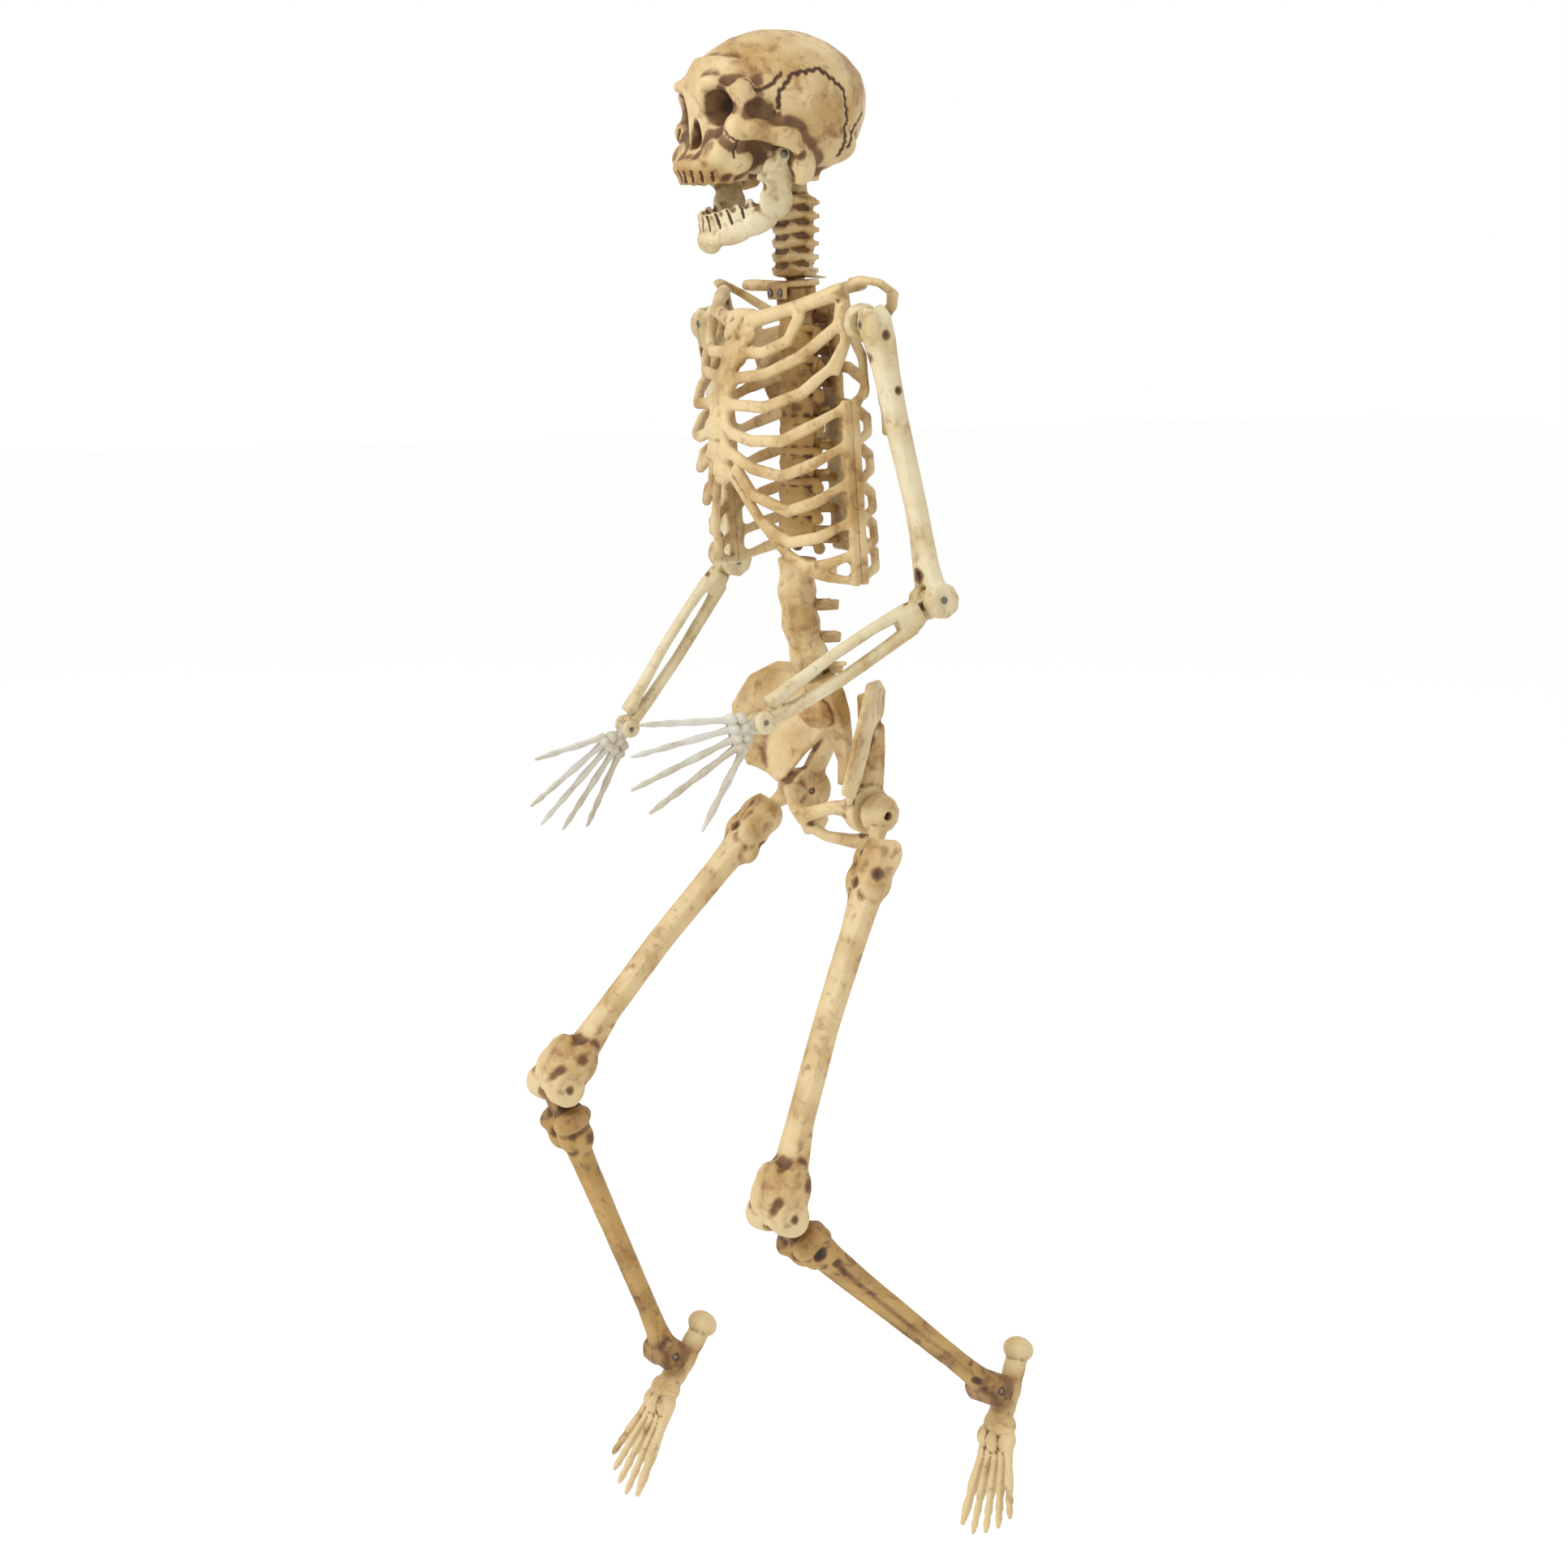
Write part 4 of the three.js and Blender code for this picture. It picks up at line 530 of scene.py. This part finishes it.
coronal = [(0, -15, 231), (30, -35, 213), (50, -40, 193), (58, -56, 176)]
sagittal = [(0, -15, 229), (0, 20, 226), (0, 48, 208), (0, 62, 186)]
lambdoid = [(0, 62, 186), (30, 52, 160), (50, 38, 138), (57, 26, 120)]
squamosal = [(59, -56, 150), (62, -52, 168), (62, -38, 184), (64, -10, 190), (63, 18, 172),
             (61, 28, 142), (57, 16, 108)]
brow_line = [(58, -56, 176), (56, -70, 168), (50, -84, 172)]
cheek_line = [(44, -100, 138), (50, -90, 124), (46, -92, 110)]
# Seams between the plates, and below, the gaps between the teeth, are cut as grooves and painted dark along each
# line: the brown wash that stays in them and painted shade.
seams = [(wandering(sagittal, 1.3, 4), 1.9, 1.1)]
for line in (coronal, lambdoid, squamosal):
    seams += [(wandering(each, 1.3, 4), 1.9, 1.1) for each in (line, mirrored(line))]
for line in (brow_line, cheek_line):
    seams += [(each, 1.8, 0.7) for each in (line, mirrored(line))]
UPPER_TEETH = 10
for i in range(1, UPPER_TEETH):
    turn = math.radians(-60 + 120 * (i - 0.5) / (UPPER_TEETH - 1))
    reach = [(34.5 * math.sin(turn), -74 - 51.5 * math.cos(turn), z) for z in (97, 91, 86)]
    seams.append((reach, 1.7, 1.7))
# Pits: the last number is how dark each is painted. The nose hole and the eye sockets, pressed no deeper, are
# painted dark inside as painted shade; in the other pits the dark is the brown wash and painted shade.
skull_pits = [(0, -108, 128, 13, 0, 0.9)]
for side in (1, -1):
    skull_pits += [
        (side * 30, -92, 154, 21, 0, 1.0),      # eye socket
        (side * 30, -80, 154, 26, 0, 1.0),
        (side * 57, -66, 150, 15, 1.5, 0.5),    # temple
        (side * 60, -30, 113, 7, 3.0, 1.0),     # ear
        (side * 38, -106, 132, 5, 1.6, 0.9),    # under the eye
        (side * 30, -112, 118, 11, 1.6, 0.5),   # beside the nose
        (side * 50, -34, 94, 8, 1.2, 0.6),      # behind the jaw
        (side * 44, -108, 139, 9, -1.2, 0),     # cheekbone
        (side * 36, 40, 205, 22, 1.2, 0.35),    # back of the crown
    ]


def low_crown(x, y, z):
    """The crown is flatter and the sides under it fuller than a plain oval."""
    fuller = 1 + 0.05 * max(0, 1 - abs(z - 205) / 40)
    return (x * fuller, -20 + (y + 20) * fuller, z if z < 165 else 165 + (z - 165) * 0.875)


plates = [merged_copy("skull_back", "skull_back_copy")]
for each in (1, -1):
    plates += [
        lump(WORLD, (each * 47, -88, 136), (12, 14, 13), (0, 0, each * 25)),    # cheekbone
        lump(WORLD, (each * 57, -70, 134), (6, 20, 10), (0, 0, each * 20)),
        lump(WORLD, (each * 62, -50, 128), (5, 20, 9)),
        lump(WORLD, (each * 50, -84, 168), (8, 11, 12)),                        # outer brow
        lump(WORLD, (each * 30, -100, 112), (15, 14, 14)),                      # upper jaw
        lump(WORLD, (each * 36, -84, 108), (9, 17, 13)),
        lump(WORLD, (each * 50, -22, 106), (10, 13, 19), (12, 0, 0)),           # behind the ear
        lump(WORLD, (each * 31, 2, 125), (27, 44, 21)),                         # base of the skull
        lump(WORLD, (each * 24, -104, 177), (15, 8, 7)),                        # brow
    ]
for i in range(9):
    turn = math.radians(-62 + 124 * i / 8)
    plates.append(lump(WORLD, (31 * math.sin(turn), -74 - 45 * math.cos(turn), 101), (9, 8, 7)))
skull = reshape(fuse(merged_copy("skull_face", "skull_moulding"), plates), low_crown)
skull = mould(skull, 1.65, 8, 0.5, WORLD, skull_pits, seams, rough=0.5, blend=5)
finish_bone(skull, tan_plastic, "skull", "tan_bone", "skull_face", "skull_back")

# ---------------------------------------------------------------------------- jaw
# The lower jaw is a paler moulding with its own teeth, hung between two small screws.
JAW_OPEN = 24           # degrees that the jaw hangs open at rest
LOWER_TEETH = 10
jaw_place = Matrix.Translation(Vector(joints["jaw"]["pos_m"]))
jaw_place = jaw_place @ Matrix.Rotation(math.radians(JAW_OPEN), 4, "X")
# The gaps between the lower teeth are cut and painted dark: the wash and painted shade.
gaps = []
for i in range(1, LOWER_TEETH):
    turn = math.radians(-72 + 144 * (i - 0.5) / (LOWER_TEETH - 1))
    line = [(35 * math.sin(turn), -28 - 49 * math.cos(turn), z) for z in (-42, -35, -27)]
    gaps.append((line, 1.4, 1.5))
branches = []
for each in (1, -1):
    branches += [
        lump(jaw_place, (each * 48, -10, -16), (3.5, 15, 18), (14, 0, 0)),
        lump(jaw_place, (each * 45, -19, -36), (4.5, 18, 17), (14, 0, 0)),
        lump(jaw_place, (each * 39, -38, -48), (5, 21, 11), (8, 0, -each * 14)),
        lump(jaw_place, (each * 26, -62, -50), (6, 20, 10), (0, 0, -each * 38)),
    ]
branches.append(lump(jaw_place, (0, -77, -52), (17, 8, 11)))
# Pits at the jaw's angles, pressed in and painted dark: the wash and painted shade.
angle_pits = [(side * 46, -20, -34, 6, 1.0, 0.5) for side in (1, -1)]
jaw = fuse(merged_copy("mandible", "mandible_moulding"), branches)
jaw = mould(jaw, 0.9, 6, 0.4, jaw_place, angle_pits, gaps, blend=3)
finish_bone(jaw, pale_plastic, "jaw", "pale_bone", "mandible")


# ---------------------------------------------------------------------------- arms
# Upper arms in two halves that close over the shoulder tongue, one-piece forearms with
# ulna and radius side by side, and one-piece hands.
def limb_place(top, bottom, hinge):
    """The frame of a long bone: z from its lower to its upper joint, x along the hinge."""
    upper, lower = Vector(joints[top]["pos_m"]), Vector(joints[bottom]["pos_m"])
    z = (upper - lower).normalized()
    x = Vector(joints[hinge]["axis"]).normalized()
    y = z.cross(x).normalized()
    place = Matrix((y.cross(z), y, z)).transposed().to_4x4()
    place.translation = upper
    return place


def turned_place(place, joint, degrees):
    """The frame of what hangs from a long bone, turned about the joint between them."""
    turn = Matrix.Rotation(math.radians(degrees), 4, Vector(joints[joint]["axis"]))
    out = (turn.to_3x3() @ place.to_3x3()).to_4x4()
    out.translation = Vector(joints[joint]["pos_m"])
    return out


WRIST = {"left": -14, "right": -6}      # degrees that each hand is bent at rest
CARPALS = ((-10, -19), (-1, -18), (9, -19), (-12, -28), (-3, -28), (6, -28), (14, -27))
for name, side in SIDES:
    upper = limb_place(f"{name}_shoulder_raise", f"{name}_elbow", f"{name}_elbow")
    fore = limb_place(f"{name}_elbow", f"{name}_wrist", f"{name}_elbow")
    palm = turned_place(fore, f"{name}_wrist", WRIST[name])
    node = f"shoulder_knuckle_{name}"
    bone = mould(merged_copy(node, f"{node}_moulding"), 0.9, 6, 0.3, upper)
    finish_bone(bone, pale_plastic, f"{name}_shoulder", "pale_bone", node)
    for half in ("outer", "inner"):
        node = f"humerus_{name}_{half}"
        # Dimples: x, y, z, radius, depth and how dark each is painted, with the brown wash and painted shade.
        dimples = [
            (side * 15, 0, -14, 6, 1.6, 0.9),
            (0, -12, -30, 7, 1.2, 0.7),
            (0, -10, -232, 9, 2.4, 1.0),
            (0, 12, -236, 9, 2.4, 1.0),
            (side * 12, 3, -64, 5, 1.2, 0.9),
            (0, 13, -26, 6, 1.4, 0.8),
        ]
        bone = mould(merged_copy(node, f"{node}_moulding"), 1.3, 9, 1.1, upper, dimples)
        finish_bone(bone, pale_plastic, f"{name}_upper_arm", "pale_bone", node)
    node = f"forearm_{name}"
    # Dimples: x, y, z, radius, depth and how dark each is painted, with the brown wash and painted shade.
    dimples = [
        (side * 8, -4, -16, 6, 1.4, 0.9),
        (0, -12, -28, 5, 1.2, 0.9),
        (0, -10, -188, 6, 1.2, 0.8),
    ]
    bone = mould(merged_copy(node, f"{node}_moulding"), 1.1, 6, 0.9, fore, dimples)
    finish_bone(bone, pale_plastic, f"{name}_forearm", "pale_bone", node)
    node = f"hand_{name}"
    carpals = [lump(palm, (0, side * y, z), (7, 5.4, 5.2)) for y, z in CARPALS]
    bone = fuse(merged_copy(node, f"{node}_moulding"), carpals)
    bone = mould(bone, 0.75, 3, 0.75, palm)
    finish_bone(bone, hand_plastic, f"{name}_hand", "pale_bone", node)

# ---------------------------------------------------------------------------- legs
# Thigh and shin bones are each two halves screwed together at the knee and the ankle;
# the feet are one-piece mouldings.
THIGH = 355                             # hip axis to knee axis


def slim_knee(x, y, z):
    """Brings the rim of the thigh bone's two knee cheeks closer to the bolt."""
    reach = math.hypot(y, z + THIGH)
    share = float(np.interp(reach, (0, 8, 13, 22, 48), (1, 1, 0.86, 0.78, 1)))
    return (x, y * share, -THIGH + (z + THIGH) * share)


ANKLE = {"left": 18, "right": 31}       # degrees that each foot is bent at rest
for name, side in SIDES:
    thigh = limb_place(f"{name}_hip_raise", f"{name}_knee", f"{name}_knee")
    shin = limb_place(f"{name}_knee", f"{name}_ankle", f"{name}_knee")
    sole = turned_place(shin, f"{name}_ankle", ANKLE[name])
    node = f"hip_knuckle_{name}"
    bone = mould(merged_copy(node, f"{node}_moulding"), 1.0, 7, 0.35, thigh)
    finish_bone(bone, tan_plastic, f"{name}_hip", "tan_bone", node)
    for half in ("outer", "inner"):
        node = f"femur_{name}_{half}"
        # Dimples: x, y, z, radius, depth and how dark each is painted, with the brown wash and painted shade.
        dimples = [
            (side * 20, -6, -18, 8, 2.0, 0.9),
            (0, -17, -30, 8, 1.8, 0.8),
            (-side * 16, 12, -30, 7, 1.6, 0.8),
            (0, 16, -54, 8, 1.4, 0.7),
            (side * 24, 6, -322, 9, 2.2, 0.9),
            (0, 16, -330, 12, 3.0, 1.0),
            (-side * 24, -8, -324, 9, 2.0, 0.8),
            (0, -19, -322, 10, 1.4, 0.6),
        ]
        bone = reshape(merged_copy(node, f"{node}_moulding"), slim_knee, thigh)
        out = side if half == "outer" else -side
        knobs = [
            lump(thigh, (out * 19, -2, -330), (11, 18, 25)),     # epicondyle
            lump(thigh, (out * 8, -18, -338), (12, 10, 19)),     # kneecap
            lump(thigh, (out * 12, 2, -2), (11, 17, 18)),        # trochanter
            lump(thigh, (out * 13, 0, -24), (9, 17, 20)),
        ]
        bone = mould(fuse(bone, knobs), 1.6, 8, 0.6, thigh, dimples, blend=5)
        finish_bone(bone, tan_plastic, f"{name}_thigh", "tan_bone", node)
        node = f"tibia_{name}_{half}"
        # Dimples: x, y, z, radius, depth and how dark each is painted, with the brown wash and painted shade.
        dimples = [
            (0, -20, -44, 8, 1.6, 0.7),
            (side * 20, -8, -52, 9, 2.6, 1.0),
            (-side * 14, 4, -60, 9, 1.6, 0.8),
            (0, 14, -40, 10, 2.2, 0.9),
            (side * 12, -6, -296, 7, 1.2, 0.8),
        ]
        knobs = [
            lump(shin, (out * 14, -3, -36), (14, 21, 12)),       # plateau
            lump(shin, (out * 9, -14, -52), (8, 9, 15)),
            lump(shin, (out * 13, 0, -56), (7, 13, 18)),
        ]
        if half == "outer":
            knobs.append(lump(shin, (out * 22, 6, -42), (7, 9, 9)))         # head of the fibula
            knobs.append(lump(shin, (out * 11, 3, -160), (7, 6, 120)))      # web beside its shaft
        bone = fuse(merged_copy(node, f"{node}_moulding"), knobs)
        bone = mould(bone, 1.4, 7, 0.5, shin, dimples, blend=4)
        finish_bone(bone, brown_plastic, f"{name}_shin", "brown_bone", node)
    node = f"foot_{name}"
    tarsals = [
        lump(sole, (0, 44, -24), (13, 12, 16)),                  # heel
        lump(sole, (0, 24, -25), (10, 22, 11)),
        lump(sole, (0, -14, -25), (15, 14, 8)),
        lump(sole, (side * 2, -32, -24), (22, 14, 8.5)),         # instep
        lump(sole, (-side * 14, -47, -24), (9, 11, 8)),
        lump(sole, (side * 2, -49, -23), (8, 11, 8)),
        lump(sole, (side * 17, -46, -26), (9, 11, 7)),
    ]
    bone = fuse(merged_copy(node, f"{node}_moulding"), tarsals)
    bone = mould(bone, 0.95, 4, 1.0, sole, blend=1.5)
    finish_bone(bone, tan_plastic, f"{name}_foot", "tan_bone", node)


# ---------------------------------------------------------------------------- screws and nuts
# Zinc-plated steel machine screws with a cross recess in a pan head and a hexagon nut
# on the other end, sunk in round recesses at the joints.
zinc_steel = bare_material("zinc_plated_steel")
place = add_node(zinc_steel, "ShaderNodeTexCoord").outputs["Object"]
dulling = add_node(zinc_steel, "ShaderNodeTexNoise", Vector=place, Scale=900.0,
                   Detail=3.0).outputs["Fac"]
tone = add_node(zinc_steel, "ShaderNodeMix", {"data_type": "RGBA"}, Factor=dulling,
                i6=paint("#57534c"), i7=paint("#918d84")).outputs[2]
shine = add_node(zinc_steel, "ShaderNodeMapRange", Value=dulling, To_Min=0.22,
                 To_Max=0.45).outputs[0]
shader = add_node(zinc_steel, "ShaderNodeBsdfPrincipled", Base_Color=tone, Metallic=1.0,
                  Roughness=shine)
add_node(zinc_steel, "ShaderNodeOutputMaterial", Surface=shader.outputs[0])


def turned_part(sides, radius, bottom, top, soften):
    """A round or six-sided part on the z axis, in mm, with softened edges."""
    bpy.ops.object.select_all(action="DESELECT")
    bpy.ops.mesh.primitive_cylinder_add(
        vertices=sides, radius=MM * radius, depth=MM * (top - bottom),
        location=(0, 0, MM * (top + bottom) / 2))
    part = bpy.context.object
    bpy.ops.object.transform_apply(location=True, rotation=False, scale=False)
    use_modifier(part, "BEVEL", width=MM * soften, segments=3, limit_method="ANGLE",
                 angle_limit=0.7)
    return part


def cross_recess(head, top, radius):
    """Cuts the cross for a screwdriver into the top of a pan head."""
    for wide, deep in ((radius * 1.05, radius * 0.24), (radius * 0.24, radius * 1.05)):
        bpy.ops.object.select_all(action="DESELECT")
        bpy.ops.mesh.primitive_cube_add(size=1, location=(0, 0, MM * top))
        blade = bpy.context.object
        blade.scale = (MM * wide, MM * deep, MM * radius * 0.5)
        bpy.ops.object.transform_apply(location=True, rotation=False, scale=True)
        use_modifier(head, "BOOLEAN", operation="DIFFERENCE", object=blade, solver="EXACT")
        bpy.data.objects.remove(blade)


body_of_node = {n: b for b, nodes in frame["record"]["behaviour"]["bodies"].items() for n in nodes}
fasteners = [n for n in body_of_node if any(word in n for word in ("screw", "bolt", "_pin_"))]
for node in fasteners:
    cad = frame["nodes"][node]
    points = np.array([cad.matrix_world @ v.co for v in cad.data.vertices]) / MM
    middle = (points.max(axis=0) + points.min(axis=0)) / 2
    along = np.linalg.svd(points - points.mean(axis=0), full_matrices=False)[2][0]
    along *= np.sign(along[np.argmax(np.abs(along))])
    reach = (points - middle) @ along
    low, high = reach.min(), reach.max()
    away = np.linalg.norm(points - middle - reach[:, None] * along, axis=1)
    wide = away.max() * 0.98
    thick = 3 if wide > 4 else 2        # of the head, and of the nut
    wide_top = away[reach > high - 0.5].max() > wide * 0.8
    wide_foot = away[reach < low + 0.5].max() > wide * 0.8
    shank = wide * (0.54 if thick == 3 else 0.5)
    screw = turned_part(24, shank, low + 0.4, high - 0.1, 0.25)
    ends = []
    if wide_top and wide_foot:
        ends.append(turned_part(6, wide, high - thick, high - 0.7, 0.35))
        face, span = low, (low + 0.05, low + thick * 0.95)
    elif wide_top:
        face, span = high, (high - thick, high - 0.05)
    else:
        face, span = low, (low + 0.05, low + thick)
    head = turned_part(40, wide, *span, 0.9)
    cross_recess(head, face, wide)
    fuse(screw, ends + [head])
    screw.name = f"{node}_turned"
    stand = Vector(along).to_track_quat("Z", "Y").to_matrix().to_4x4()
    screw.data.transform(Matrix.Translation([MM * c for c in middle]) @ stand)
    screw.data.materials.clear()
    screw.data.materials.append(zinc_steel)
    bpy.ops.object.select_all(action="DESELECT")
    screw.select_set(True)
    bpy.context.view_layer.objects.active = screw
    bpy.ops.object.shade_smooth_by_angle(angle=0.6)
    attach(screw, body_of_node[node])
    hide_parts(node)
